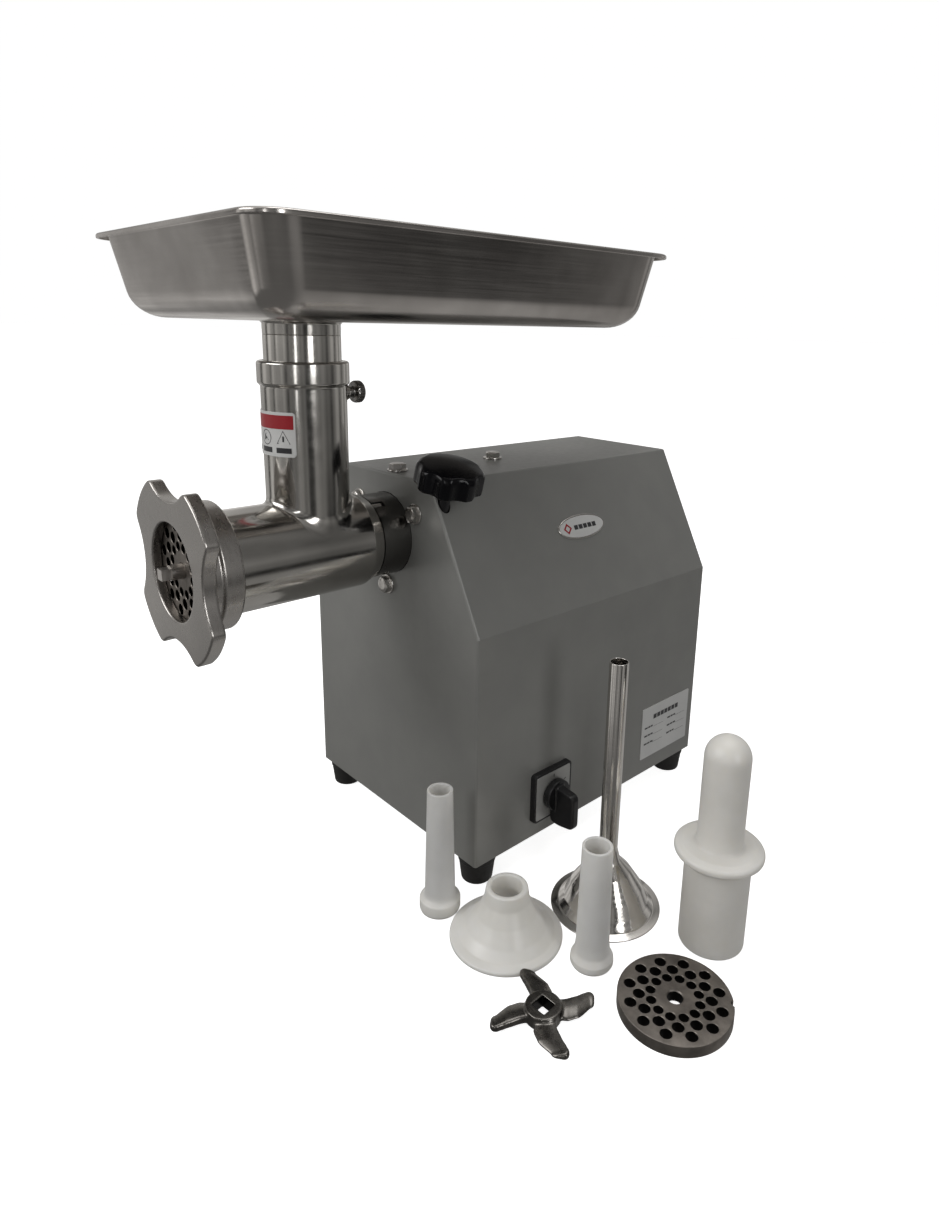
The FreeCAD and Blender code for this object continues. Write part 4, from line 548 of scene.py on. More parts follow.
field_piece("head_body", head_field, head_low - 2, head_high + 2, 1.0, CAST_STEEL, "head", ["head_casting"])

DIAGONAL = math.sqrt(0.5)
LOBE, SCALLOP, SCALLOP_AT = 59.5, 38.0, 82.0
FLANGE, OPENING = 9.0, 30.9
RING_NECK, SKIRT, RING_THREAD = 39.7, 41.0, 38.35


def ring_field(x, y, z):
    """Four-lobed flange with a stepped skirt behind it."""
    height = z - AXIS
    radial = np.hypot(x, height)
    lobed = radial - LOBE
    for side_x, side_z in ((1, 0), (-1, 0), (0, 1), (0, -1)):
        bite = SCALLOP - np.hypot(x - side_x * SCALLOP_AT, height - side_z * SCALLOP_AT)
        lobed = soft_max(lobed, bite, 4.5)
    flange = soft_max(lobed, np.abs(y - RING_FACE - FLANGE / 2) - FLANGE / 2, 1.3)
    neck = rod(radial, y, RING_NECK, RING_FACE + 3, RING_BACK - 3, 0.8)
    skirt = rod(radial, y, SKIRT, RING_FACE + 15, RING_BACK, 1.6)
    solid = soft_min(flange, soft_min(neck, skirt, 1.0), 2.0)
    solid = soft_max(solid, OPENING - radial, 1.2)
    thread = rod(radial, y, RING_THREAD, plate_low[1] - 0.3, RING_BACK + PAST, 0.3)
    return soft_max(solid, -thread, 0.6)


field_piece("ring_body", ring_field, ring_low - 2, ring_high + 2, 0.8, RING_STEEL, "ring", ["ring_nut"])


# ---- plates

PLATE, PLATE_THICK, PLATE_HOLE, PLATE_BORE, KEY_NOTCH = 35.0, 8.0, 3.6, 4.8, 2.2
HOLE_RINGS = ((0.43, 15, 0.85), (0.62, 0, 1.0), (0.80, 15, 1.0))  # share of the radius, phase, hole scale


def mark_painted_bore_shade(thing, middle, along, reach):
    """Marks the faces inside a radius that stand along an axis, the walls of holes, for painted shade."""
    places = np.array([vertex.co for vertex in thing.data.vertices]) / MM - np.array(middle)
    axial = places @ along
    radial = np.linalg.norm(places - axial[:, None] * along, axis=1)
    marks = []
    for face in thing.data.polygons:
        corners = list(face.vertices)
        upright = abs(np.array(face.normal) @ along) < 0.3
        marks.append(1.0 if upright and radial[corners].max() < reach else 0.0)
    thing.data.attributes.new("painted_bore_shade", "FLOAT", "FACE").data.foreach_set("value", marks)


def cutting_plate(name, middle, turn, body, node):
    """A plate with three rings of holes, their rims and the plate's own rim chamfered."""
    thick = PLATE_THICK
    disc = helper(*turned_part([(0, 0), (PLATE, 0, 0.5), (PLATE, thick, 0.5), (0, thick)], (0, 0, 0), Z, 160))

    def drill(x, y, radius, corner=0.25):
        wide = radius + corner
        corners = [(0, -1), (wide, -1), (wide, 0), (radius, corner), (radius, thick - corner), (wide, thick),
                   (wide, thick + 1), (0, thick + 1)]
        return turned_part(corners, (x, y, 0), Z, 28)

    drills = [drill(0, 0, PLATE_BORE, 0.6), drill(0, PLATE + 0.3, KEY_NOTCH, 0.2)]
    for share, phase, scale in HOLE_RINGS:
        for k in range(12):
            angle = math.radians(phase + 30 * k)
            radius = PLATE * share
            drills.append(drill(radius * math.cos(angle), radius * math.sin(angle), PLATE_HOLE * scale))
    points, faces = carved(disc, [helper(*merged(drills))])
    basis = np.array(turn, float)
    plate = piece(name, np.array(middle) + points @ basis, faces, PLATE_STEEL, body, [node], sharp=25)
    # The plate's hole walls are marked for painted shade.
    mark_painted_bore_shade(plate, middle, basis[2], PLATE - 0.8)


def flat_turn(degrees):
    """Axes of a piece that lies on the counter, turned about the vertical."""
    c, s = math.cos(math.radians(degrees)), math.sin(math.radians(degrees))
    return (c, s, 0), (-s, c, 0), (0, 0, 1)


cutting_plate("die_body", (0, plate_high[1], AXIS), ((1, 0, 0), (0, 0, 1), (0, -1, 0)), "plate",
              "grinding_plate")
cutting_plate("loose_die_body", (259.7, -108.1, 0), flat_turn(-50), "loose_plate", "spare_plate")
KNIFE_HUB, KNIFE_TALL, SQUARE_HALF = 11.2, 9, 5.0
KNIFE_SPINE = ((7.0, -0.5, 5.8), (14.0, -0.4, 6.6), (20.5, -2.6, 6.8), (25.8, -6.8, 5.2), (28.4, -10.4, 3.2))
FLUTE_LINE = ((7, 14, 20.5, 28.4), (-0.5, -0.4, -2.6, -9.4))


def knife_field(x, y, z):
    """Four swept, fluted arms round a tall hub whose square hole has its corners at the arms."""
    solid = rod(np.hypot(x, y), z, KNIFE_HUB, 0, KNIFE_TALL, 1.0)
    for quarter in range(4):
        c, s = math.cos(quarter * math.pi / 2), math.sin(quarter * math.pi / 2)
        along, across = c * x + s * y, s * x - c * y
        arm = None
        for (ax, ay, ar), (bx, by, br) in zip(KNIFE_SPINE, KNIFE_SPINE[1:]):
            dx, dy = bx - ax, by - ay
            share = np.clip(((along - ax) * dx + (across - ay) * dy) / (dx * dx + dy * dy), 0, 1)
            part = np.hypot(along - ax - share * dx, across - ay - share * dy) - (ar + share * (br - ar))
            arm = part if arm is None else soft_min(arm, part, 2.0)
        side = across - np.interp(along, *FLUTE_LINE)
        top = 6.9 - 0.05 * np.maximum(along - 8, 0) - 0.026 * side * side - 0.16 * side
        arm = soft_max(arm, z - top, 1.6)
        arm = soft_max(arm, 2.2 - z + 0.10 * side, 1.4)
        solid = soft_min(solid, arm, 1.6)
    square = (np.abs(x) + np.abs(y)) * DIAGONAL - SQUARE_HALF
    return soft_max(solid, -square, 0.4)


knife_mesh = surface_of(knife_field, (-36, -36, -1), (36, 36, 10.5), 0.45, soften=5)


def knife_piece(name, middle, turn, body, node):
    basis = np.array(turn, float)
    points, faces, normals = knife_mesh
    blade = piece(name, np.array(middle) + points @ basis, faces, KNIFE_STEEL, body, [node],
                  normals=(normals @ basis).tolist())
    # The knife's square hole walls are marked for painted shade.
    mark_painted_bore_shade(blade, middle, basis[2], 8.0)


knife_piece("cutter_body", (0, span("knife")[1][1], AXIS),
            ((DIAGONAL, 0, DIAGONAL), (-DIAGONAL, 0, DIAGONAL), (0, -1, 0)), "auger_set", "knife")
knife_piece("loose_cutter_body", (210.7, -171.8, 0), flat_turn(-43), "loose_knife", "spare_knife")


# ---- tray

TRAY_MIDDLE = (pan_low[1] + pan_high[1]) / 2
LIP = 5.0
WALL_A, WALL_B = (pan_high[:2] - pan_low[:2]) / 2 - LIP
RIM, FLOOR_Z = pan_high[2], pan_low[2]
TAPER = math.tan(math.radians(11))
SHEET = 1.0
CHUTE_IN, CHUTE_OUT = 23.3, 24.5


def tray_corner(out):
    """Corner radius of the pan's outline where it stands out by this much from the rim's wall."""
    return 22 - 0.6 * out if out > 0 else max(22 + 0.35 * out, 6)


def tray_pan():
    """The pan as one loft: hole, floor, walls and rim inside, then back down the outside to the hole."""
    foot = -TAPER * (RIM - FLOOR_Z)
    edge = foot - 33
    inside = [(edge, FLOOR_Z + SHEET), (foot - 0.8, FLOOR_Z + SHEET, 31), (-SHEET - 0.1, RIM, 3.4),
              (LIP, RIM, 1.9)]
    outside = [(LIP, RIM - 3.2, 0.5), (LIP - 1.2, RIM - 3.2, 0.5), (LIP - 1.2, RIM - 1.2, 1.2),
               (0.1, RIM - 1.2, 2.4), (foot, FLOOR_Z, 32), (edge, FLOOR_Z)]
    section = softened(inside + outside, steps=9)
    rows = []

    def ring(out, height):
        flat = rounded_rect(WALL_A + out, WALL_B + out, tray_corner(out), 12)
        rows.append(np.column_stack([flat[:, 0], flat[:, 1] + TRAY_MIDDLE, np.full(len(flat), height)]))

    def hole(radius, height, share):
        flat = rounded_rect(WALL_A + edge, WALL_B + edge, tray_corner(edge), 12)
        flat = flat + [0, TRAY_MIDDLE]
        centre = np.array([0, NECK_Y])
        away = flat - centre
        circle = centre + away / np.linalg.norm(away, axis=1)[:, None] * radius
        spot = flat + (circle - flat) * share
        rows.append(np.column_stack([spot, np.full(len(spot), height)]))

    for wider, height in ((0, -1.2), (0, -0.4), (0.3, 0.4), (0.9, 0.85), (1.7, SHEET), (2.5, SHEET)):
        hole(CHUTE_IN + wider, FLOOR_Z + height, 1)
    for share in (0.9, 0.7, 0.45, 0.2):
        hole(CHUTE_IN + 2.5, FLOOR_Z + SHEET, share)
    for out, height in section:
        ring(out, height)
    for share in (0.2, 0.5, 0.8, 1.0):
        hole(CHUTE_OUT + 0.1, FLOOR_Z, share)
    rows = np.array(rows)
    piece("tray_pan_body", rows.reshape(-1, 3), loft(rows, True), TRAY_STEEL, "tray", ["tray_pan"], sharp=50)


tray_pan()
foot, top = chute_low[2], chute_high[2]
chute_corners = [
    (CHUTE_IN, foot, 0.3), (CHUTE_OUT, foot, 0.3), (CHUTE_OUT, top - 8.6, 0.15), (CHUTE_OUT - 0.25, top - 8.3),
    (CHUTE_OUT, top - 8.0, 0.15), (CHUTE_OUT, top - 1.6, 1.2), (CHUTE_OUT + 1.5, top - 0.05),
    (CHUTE_IN, top - 0.05),
]
lathe("tray_chute_body", chute_corners, (0, NECK_Y, 0), Z, CAST_STEEL, "tray", ["tray_chute"], 128, closed=True)


# ---- knobs, screws

CLAMP_TILT = math.radians(16.5)
CLAMP_OFFSET, CLAMP_Y = 47.5, FRONT + 6.2
KNOB_START, KNOB_HEIGHT, KNOB_RADIUS = 58.5, 18.5, 23.5
KNOB_DOME, KNOB_LOBES, KNOB_SCALLOP, KNOB_BITE = 95, 8, 7.2, 5.5


def clamp_matrix(along):
    """Place on the clamp's tilted axis, at a distance along it."""
    spot = Vector((CLAMP_OFFSET * math.cos(CLAMP_TILT) + along * math.sin(CLAMP_TILT), CLAMP_Y,
                   AXIS - CLAMP_OFFSET * math.sin(CLAMP_TILT) + along * math.cos(CLAMP_TILT)))
    return Matrix.Translation(spot) @ Matrix.Rotation(CLAMP_TILT, 4, "Y")


def clamp_knob_field(x, y, z):
    """A domed grip with eight finger scallops and a blind hole in its underside."""
    radial = np.hypot(x, y)
    dome = np.hypot(radial, z - KNOB_HEIGHT + KNOB_DOME) - KNOB_DOME
    grip = soft_max(soft_max(radial - KNOB_RADIUS, dome, 4.5), 0.1 - z, 1.8)
    reach = KNOB_RADIUS + KNOB_BITE
    for k in range(KNOB_LOBES):
        angle = math.radians(360 / KNOB_LOBES * (k + 0.5))
        away = np.hypot(x - reach * math.cos(angle), y - reach * math.sin(angle))
        grip = soft_max(grip, KNOB_SCALLOP - away, 3.0)
    return soft_max(grip, 4.0 - np.maximum(radial, (z - KNOB_HEIGHT * 0.55) + 4.0), 0.2)


field_piece("clamp_knob_body", clamp_knob_field, (-26, -26, -1), (26, 26, 20), 0.6, GLOSS_BLACK, "knob",
            ["clamp_knob"], clamp_matrix(KNOB_START))


def hex_head(radius, height):
    """A hexagon head with a domed, chamfered top."""
    angles = [math.radians(60 * k) for k in range(6)]
    corners = [(radius * math.cos(a), radius * math.sin(a)) for a in angles]
    points = [(*c, 0) for c in corners] + [(*c, height) for c in corners]
    faces = [tuple(range(5, -1, -1)), tuple(range(6, 12))]
    faces += [(k, (k + 1) % 6, (k + 1) % 6 + 6, k + 6) for k in range(6)]
    flat = radius * math.cos(math.pi / 6)
    dome = turned_part([(0, -1), (radius + 1, -1), (radius + 1, height - 1.5), (flat - 0.5, height - 0.35, 0.8),
                        (flat - 2.0, height, 1.5), (0, height)], (0, 0, 0), Z, 60)
    return carved(helper(points, faces), [helper(*dome)], "INTERSECT")


HEX_RADIUS, HEX_HEIGHT, WASHER, WASHER_THICK, SHANK = 6.2, 4.4, 7.5, 1.4, 3.0
head_shape = hex_head(HEX_RADIUS, HEX_HEIGHT)


def moved(part, spot, axis, spin=0.0):
    """A part's points put at a spot and turned onto an axis, and its faces."""
    side, up, along = frame_of(axis)
    c, s = math.cos(spin), math.sin(spin)
    return np.array(spot) + np.asarray(part[0], float) @ [c * side + s * up, c * up - s * side, along], part[1]


def bolt(spot, axis, spin):
    seat = np.array(spot, float) + np.array(axis) * WASHER_THICK
    shank = turned_part([(0, -8), (SHANK, -8, 0.5), (SHANK, 0.5), (0, 0.5)], (0, 0, 0), Z, 24)
    return [moved(head_shape, seat, axis, spin), moved(shank, seat, axis)]


WASHER_BORE = SHANK + 0.15
washer_corners = [(WASHER_BORE, 0), (WASHER, 0, 0.3), (WASHER, WASHER_THICK, 0.45), (WASHER_BORE, WASHER_THICK)]
washer_part = turned_part(washer_corners, (0, 0, 0), Z, 64, closed=True)
BOLT_CIRCLE = 39.8
bolt_angles = [math.radians(degrees) for degrees in (30, 150, 270)]
front_spots = [(BOLT_CIRCLE * math.cos(a), FRONT, AXIS + BOLT_CIRCLE * math.sin(a)) for a in bolt_angles]
top_spots = [(0, FRONT + back, shell_high[2]) for back in (10, 103)]
OUT, UP = (0, -1, 0), (0, 0, 1)
front_parts = [part for i, spot in enumerate(front_spots) for part in bolt(spot, OUT, 0.35 + 0.4 * i)]
top_parts = [part for i, spot in enumerate(top_spots) for part in bolt(spot, UP, 0.2 + 0.5 * i)]
piece("front_bolt_set", *merged(front_parts), BOLT_STEEL, "machine", ["front_bolts"], sharp=30)
piece("top_bolt_set", *merged(top_parts), BOLT_STEEL, "machine", ["top_bolts"], sharp=30)
washers = [moved(washer_part, spot, OUT) for spot in front_spots]
washers += [moved(washer_part, spot, UP) for spot in top_spots]
piece("washer_set", *merged(washers), BOLT_STEEL, "machine", ["bolt_washers"], sharp=40)


def thumb_screw(segments=144, knurls=24):
    """A turned head with a knurled rim on a plain shank."""
    start = NECK_Y + NECK + 6
    tip = span("thumb_screw")[0][1] - start
    corners = [(0, tip), (3.0, tip, 0.4), (3.0, -0.4), (3.6, -0.4, 0.4), (3.6, 3.4, 0.8), (6.9, 3.6, 0.8),
               (7.5, 5.0, 0.6), (7.5, 8.6, 0.6), (6.6, 9.6, 0.8), (4.2, 9.9, 1.5), (0, 10.3)]
    profile = softened(corners, steps=4)
    centre = np.array([0, start, THUMB_Z])
    rows = turned_mesh(profile, centre, Y, segments)
    swell = 1 - 0.035 * (np.cos(np.arange(segments) * 2 * math.pi * knurls / segments) > 0.2)
    for i, (radius, height) in enumerate(profile):
        if radius > 6.8 and 4.2 < height < 9.2:
            offset = rows[i] - centre
            offset[:, [0, 2]] *= swell[:, None]
            rows[i] = centre + offset
    piece("thumb_screw_body", rows.reshape(-1, 3), loft(rows), SCREW_STEEL, "thumb", ["thumb_screw"], sharp=30)


thumb_screw()
foot_corners = [(5.5, 0, 0.4), (11.5, 0, 1.6), (13.4, 15.5, 1.0), (14, 16.5, 0.6), (14, 20.5, 0.5), (2.6, 20.5),
                (2.6, 9), (5.5, 9)]
feet = [turned_part(foot_corners, (x, y, 0), Z, 72, closed=True) for x in (-88, 88) for y in (-117.5, 117.5)]
piece("feet_body", *merged(feet), RUBBER, "machine", ["rubber_feet"], sharp=40)


# ---- switch and its plate

SWITCH_Y, SWITCH_Z = FRONT + 74.25, 53.6
SWITCH_HALF, SWITCH_DEEP = 20.0, 5.0


def slab(name, rows, material, body, stands_for=(), sharp=38, close=True):
    """A piece lofted through rings and shut at both ends by flat faces."""
    rows = np.array(rows, float)
    around = rows.shape[1]
    faces = loft(rows)
    if close:
        faces.append(tuple(range(around - 1, -1, -1)))
        faces.append(tuple(range((len(rows) - 1) * around, len(rows) * around)))
    return piece(name, rows.reshape(-1, 3), faces, material, body, stands_for, sharp=sharp)


def on_wall(x, y, z):
    """Places (across, up) points on a wall that faces +X, standing out from it by a lift."""
    def place(flat, lift):
        flat = np.asarray(flat, float)
        return np.column_stack([np.full(len(flat), x + lift), y + flat[:, 0], z + flat[:, 1]])

    return place


on_side = on_wall(SIDE, SWITCH_Y, SWITCH_Z)


def square_ring(inset, out, corner):
    return on_side(rounded_rect(SWITCH_HALF - inset, SWITCH_HALF - inset, corner, 6, (4, 4)), out)


frame_rows = [square_ring(*row) for row in ((0, 0, 3), (0, 4.0, 3), (0.25, 4.7, 2.9), (0.8, 5.0, 2.6),
                                            (1.5, 5.0, 2.2), (1.7, 4.8, 2.0), (1.8, 4.2, 2.0))]
slab("switch_frame_body", frame_rows, BLACK_PLASTIC, "machine", ["switch_frame"])
face_rows = [square_ring(1.85, 4.2, 1.9), square_ring(1.85, 4.75, 1.9), square_ring(2.1, 5.0, 1.7)]
slab("switch_face_body", face_rows, FACE_METAL, "machine", ["switch_face"])
knob_low, knob_high = span("switch_knob")
KNOB_DISC = SIDE + SWITCH_DEEP + 0.4
LEVER_LOW, LEVER_HIGH = knob_low[2] - SWITCH_Z + 0.05, 8.9


def switch_knob_field(x, y, z):
    """A round skirt with a long tapered lever that hangs below it."""
    across, height, out = y - SWITCH_Y, z - SWITCH_Z, x - KNOB_DISC
    skirt = rod(np.hypot(across, height), out, 12.0, 0, 6, 1.2)
    half = 4.2 - 0.030 * np.maximum(out, 0)
    low = LEVER_LOW + 0.16 * np.maximum(out - 10, 0)
    high = LEVER_HIGH - 0.10 * np.maximum(out, 0)
    lever = soft_max(np.abs(across) - half, soft_max(np.abs(height - (low + high) / 2) - (high - low) / 2,
                                                     np.abs(out - 11.5) - 11.5, 4.5), 2.0)
    stem = rod(np.hypot(across, height), out, 4.0, -12, 4, 0.5)
    return soft_min(soft_min(skirt, lever, 1.6), stem, 0.5)


field_piece("selector_body", switch_knob_field, knob_low - 1.5, knob_high + 1.5, 0.5, BLACK_PLASTIC, "selector",
            ["switch_knob"])


# ---- printed marks

def bar(u, v, width, height, columns=1):
    """A filled rectangle of print, as rows of points."""
    across = np.linspace(u, u + width, columns + 1)
    return [np.column_stack([across, np.full(columns + 1, edge)]) for edge in (v, v + height)]


def loop(corners, thick):
    """The outline of a closed shape drawn with a line."""
    corners = np.array(corners, float)
    centre = corners.mean(0)
    away = corners - centre
    inner = centre + away * (1 - thick / np.linalg.norm(away, axis=1))[:, None]
    return [np.vstack([corners, corners[:1]]), np.vstack([inner, inner[:1]])]


def marks(name, shapes, place, material, body):
    """Thin flat print on a surface; place maps (u, v) points and a lift to the row frame."""
    lift = 0.06
    points, faces = [], []
    for low, high in shapes:
        start = len(points)
        count = len(low)
        points += list(place(low, lift)) + list(place(high, lift))
        faces += [(i, i + 1, i + count + 1, i + count) for i in range(start, start + count - 1)]
    piece(name, points, faces, material, body)


def polygon(centre, radius, count):
    angles = [math.radians(90 + 360 * k / count) for k in range(count)]
    return [(centre[0] + radius * math.cos(a), centre[1] + radius * math.sin(a)) for a in angles]


slant = np.array([math.sin(math.radians(60)), math.cos(math.radians(60))])
ends = np.array([13.0 * slant, 15.4 * slant])
ticks = [bar(-0.4, 13.2, 0.8, 2.6), [ends + [-0.3, 0.3], ends + [0.3, -0.3]]]
marks("switch_marks", ticks, on_wall(SIDE + SWITCH_DEEP, SWITCH_Y, SWITCH_Z), INK, "machine")

rating_low, rating_high = span("rating_plate")
on_rating = on_wall(rating_high[0], *((rating_low + rating_high) / 2)[1:])
RATING_A, RATING_B = ((rating_high - rating_low) / 2)[1:]
rating_rows = [on_rating(rounded_rect(RATING_A - inset, RATING_B - inset, corner, 4, (4, 4)), lift)
               for inset, lift, corner in ((0, -0.6, 1.2), (0, -0.15, 1.2), (0.15, 0, 1.1))]
slab("rating_plate_body", rating_rows, PAPER, "machine", ["rating_plate"])
print_rows = [bar(-18.0 + 5.2 * k, 11.0, 4.4, 4.2) for k in range(7)]
for row, height in enumerate((4.2, -3.4, -11.0)):
    for side, left in enumerate((-29.5, 3.0)):
        for offset, width in ((0, 4.2), (4.9, 3.1), (8.7, 2.4 + 0.7 * ((row + side) % 3))):
            print_rows.append(bar(left + offset, height, width, 1.5))
marks("rating_print", print_rows, on_rating, INK, "machine")
rules = [bar(-17.5 + 32.5 * side, 3.6 - 7.6 * row, 14.0, 0.25) for row in range(3) for side in (0, 1)]
marks("rating_rules", rules, on_rating, INK, "machine")

label_low, label_high = span("neck_label")
LABEL_START, LABEL_END = math.radians(-136), math.radians(-42)
LABEL_R = NECK + 0.6
LABEL_HALF = (LABEL_END - LABEL_START) / 2 * LABEL_R
LABEL_Z, LABEL_TALL = (label_low[2] + label_high[2]) / 2, (label_high[2] - label_low[2]) / 2


def on_neck(flat, lift):
    """Wraps (across, up) points round the neck."""
    flat = np.asarray(flat, float)
    around = (LABEL_START + LABEL_END) / 2 + flat[:, 0] / LABEL_R
    radius = LABEL_R + lift
    return np.column_stack([radius * np.cos(around), NECK_Y + radius * np.sin(around), LABEL_Z + flat[:, 1]])


label_outline = rounded_rect(LABEL_HALF, LABEL_TALL, 2.2, 6, (32, 16))
label_rows = [on_neck(label_outline * share, lift) for share, lift in (
    (1, -0.5), (1, -0.12), (0.995, -0.02), (0.97, 0), (0.8, 0), (0.6, 0), (0.4, 0), (0.2, 0), (0.02, 0))]
slab("neck_label_body", label_rows, PAPER, "head", ["neck_label"], close=False)
red = [bar(-LABEL_HALF + 1.2, 3.6, 2 * LABEL_HALF - 2.4, 8.6, 40)]
marks("neck_label_band", red, on_neck, RED_INK, "head")
signs = []
for k in (-1, 0, 1):
    u = 14.5 * k
    signs.append(bar(u - 5.4, -11.6, 10.8, 3.4, 10))
    if k:
        signs.append(loop(polygon((u, -2.9), 5.6, 3), 0.7))
        signs.append(bar(u - 0.6, -4.4, 1.2, 3.6))
    else:
        signs.append(loop(polygon((u, -2.2), 4.9, 28), 0.5))
        signs.append([[(u - 2.2, -4.2), (u + 2.6, -4.2)], [(u - 2.0, 0.4), (u - 0.4, -1.6)]])
marks("neck_label_signs", signs, on_neck, INK, "head")

BADGE_LONG, BADGE_SHORT, BADGE_THICK = 26.0, 9.5, 1.2
BADGE_Y, BADGE_Z = -3.0, 248.0
CREASE, ROOF_HALF = 195.3, 51.5
slope_rise, slope_run = shell_high[2] - CREASE, SIDE - ROOF_HALF
slope = math.hypot(slope_rise, slope_run)
badge_spot = np.array([SIDE - (BADGE_Z - CREASE) * slope_run / slope_rise, BADGE_Y, BADGE_Z])
badge_basis = np.array([(0, slope, 0), (-slope_run, 0, slope_rise), (slope_rise, 0, slope_run)]) / slope


def on_badge(flat, lift):
    """Places (across, up) points on the sloped side."""
    flat = np.asarray(flat, float)
    return badge_spot + np.column_stack([flat, np.full(len(flat), BADGE_THICK + lift)]) @ badge_basis


def badge_rings(*rows):
    """Ovals from (inset, lift) pairs."""
    angles = np.linspace(0, 2 * math.pi, 73)[:-1]
    circle = np.column_stack([np.cos(angles), np.sin(angles)])
    return [on_badge(circle * [BADGE_LONG - inset, BADGE_SHORT - inset], lift) for inset, lift in rows]


def on_badge_face(flat, lift):
    return on_badge(flat, lift + 0.02)


slab("badge_rim", badge_rings((0, -1.2), (0, -0.35), (0.25, -0.08), (0.6, 0), (1.0, -0.1), (1.1, -0.3)),
     BOLT_STEEL, "machine", ["side_badge"])
slab("badge_face", badge_rings((1.12, -0.35), (1.2, -0.1), (2.2, -0.02), (5, 0.0)), PAPER, "machine")
marks("badge_mark", [loop(polygon((-16.2, 0), 4.4, 4), 1.9)], on_badge_face, RED_INK, "machine")
marks("badge_bars", [bar(-9.0 + 5.1 * k, -1.9, 4.2, 3.6) for k in range(5)], on_badge_face, INK, "machine")


# ---- accessories

# Where each one stands on the counter.
PUSHER_AT, FUNNEL_AT, CONE_AT = (241.8, -41.8, 0), (171.9, -69.1, 0), (146.6, -142.2, 0)
SLIM_AT, FLARED_AT = (96.2, -158.9, 0), (201.3, -117.4, 0)

PUSHER_TOP, GRIP = span("meat_pusher")[1][2], 15.0
dome_angles = np.linspace(0, math.pi / 2, 18)[1:-1]
dome = [(GRIP * math.cos(t), PUSHER_TOP - GRIP + GRIP * math.sin(t)) for t in dome_angles]
pusher_corners = [
    (0, 0), (21.7, 0, 2.0), (21.7, 65, 2.0), (26.4, 65.6, 3.0), (29.2, 68.2, 2.2), (29.2, 71.8, 2.4),
    (24.0, 73.6, 3.0), (GRIP, 74, 2.5), (GRIP, PUSHER_TOP - GRIP), *dome, (0, PUSHER_TOP),
]
lathe("pusher_body", pusher_corners, PUSHER_AT, Z, WHITE, "pusher", ["meat_pusher"], 128, steps=12)
funnel_corners = [
    (38.7, 0, 0.3), (38.7, 0.9, 0.3), (33.5, 2.0, 2.5), (29.5, 6.5, 6), (25.2, 16.5, 8), (16.5, 29.5, 10),
    (8.7, 37.5, 7), (6.5, 46, 8), (6.5, 186, 0.25), (5.7, 186, 0.25), (5.7, 45.8, 8), (8.0, 36.8, 7),
    (15.8, 28.8, 9), (24.4, 16, 7), (28.6, 6.2, 5), (32.0, 0, 0.5),
]
lathe("funnel_body", funnel_corners, FUNNEL_AT, Z, FUNNEL_STEEL, "funnel", ["sausage_funnel"], 128,
      closed=True, steps=6)
CONE_TOP = span("cone_adapter")[1][2]
FLARED_TOP = span("flared_tube")[1][2]
cone_corners = [
    (38.2, 0, 0.8), (38.2, 2.8, 1.4), (32.5, 4.4, 4), (26.6, 9.2, 8), (20.2, 18.6, 12), (15.4, 28.5, 8),
    (13.9, CONE_TOP, 1.6), (10.6, CONE_TOP, 1.0), (10.2, 27, 6), (16.2, 16.5, 8), (22.2, 8.5, 6),
    (28.6, 2.8, 3), (29.2, 0, 0.3),
]
lathe("adapter_body", cone_corners, CONE_AT, Z, WHITE, "cone", ["cone_adapter"], 128, closed=True, steps=7)
slim_corners = [
    (10.0, 0, 0.4), (13.6, 0, 1.0), (14.3, 2.2, 0.6), (14.3, 9.4, 1.6), (11.2, 11.0, 3.0), (10.6, 14, 3),
    (8.8, 93, 0.5), (7.0, 93, 0.5), (9.0, 10),
]
lathe("slim_tube_body", slim_corners, SLIM_AT, Z, WHITE, "tube_slim", ["slim_tube"], 96, closed=True, steps=5)
flared_corners = [
    (9.8, 0, 0.4), (13.2, 0, 0.8), (14.1, 1.8, 0.8), (13.9, 5.4, 1.4), (11.6, 9.6, 6), (10.9, 16, 8),
    (9.8, FLARED_TOP, 0.5), (8.0, FLARED_TOP, 0.5), (9.1, 10),
]
lathe("flared_tube_body", flared_corners, FLARED_AT, Z, WHITE, "tube_flared", ["flared_tube"], 96,
      closed=True, steps=5)


# ---- finishes of CAD nodes

finishes = {
    HOUSING: "housing_shell",
    ZINC: "base_plate foot_screws gearbox_screws motor_tie_bolts motor_hanger capacitor_clip",
    BLACK_OXIDE: "clamp_stud",
    ALUMINIUM: "gearbox_cover motor_frame motor_rear_bell",
    BLACK_PLASTIC: "cable_gland cooling_fan switch_body",
    GEAR_STEEL: "output_bearings idler_bearings motor_bearings output_shaft output_gear idler_shaft idler_gear "
                "stator_core motor_shaft rotor_core",
    SEAL: "oil_seal",
    COPPER: "stator_coils",
    BRONZE: "clamp_shoe",
    CAST_STEEL: "auger",
    SOCKET_STEEL: "gearbox_case",
    WHITE: "auger_bush",
    BOLT_STEEL: "locating_pin plate_key",
    PIN_STEEL: "auger_pin",
    PAPER: "capacitor",
}
for look, names in finishes.items():
    for name in names.split():
        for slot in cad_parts[name].material_slots:
            slot.material = look


# ---- floor, light, camera

def staged(name, mesh, material):
    """A piece of the set: seen by the camera, but not in reflections."""
    mesh.materials.append(material)
    thing = linked(name, mesh)
    thing.visible_glossy = False
    thing.visible_diffuse = False
    return thing


floor_corners = [(-30, -30, 0), (30, -30, 0), (30, 30, 0), (-30, 30, 0)]
staged("floor", new_mesh("floor", np.array(floor_corners) / MM, [(0, 1, 2, 3)]), FLOOR)
dome_mesh = bpy.data.meshes.new("backdrop")
dome_shape = bmesh.new()
bmesh.ops.create_uvsphere(dome_shape, u_segments=64, v_segments=32, radius=28)
dome_shape.to_mesh(dome_mesh)
dome_shape.free()
backdrop = staged("backdrop", dome_mesh, BACKDROP)
backdrop.visible_shadow = False
backdrop.visible_transmission = False


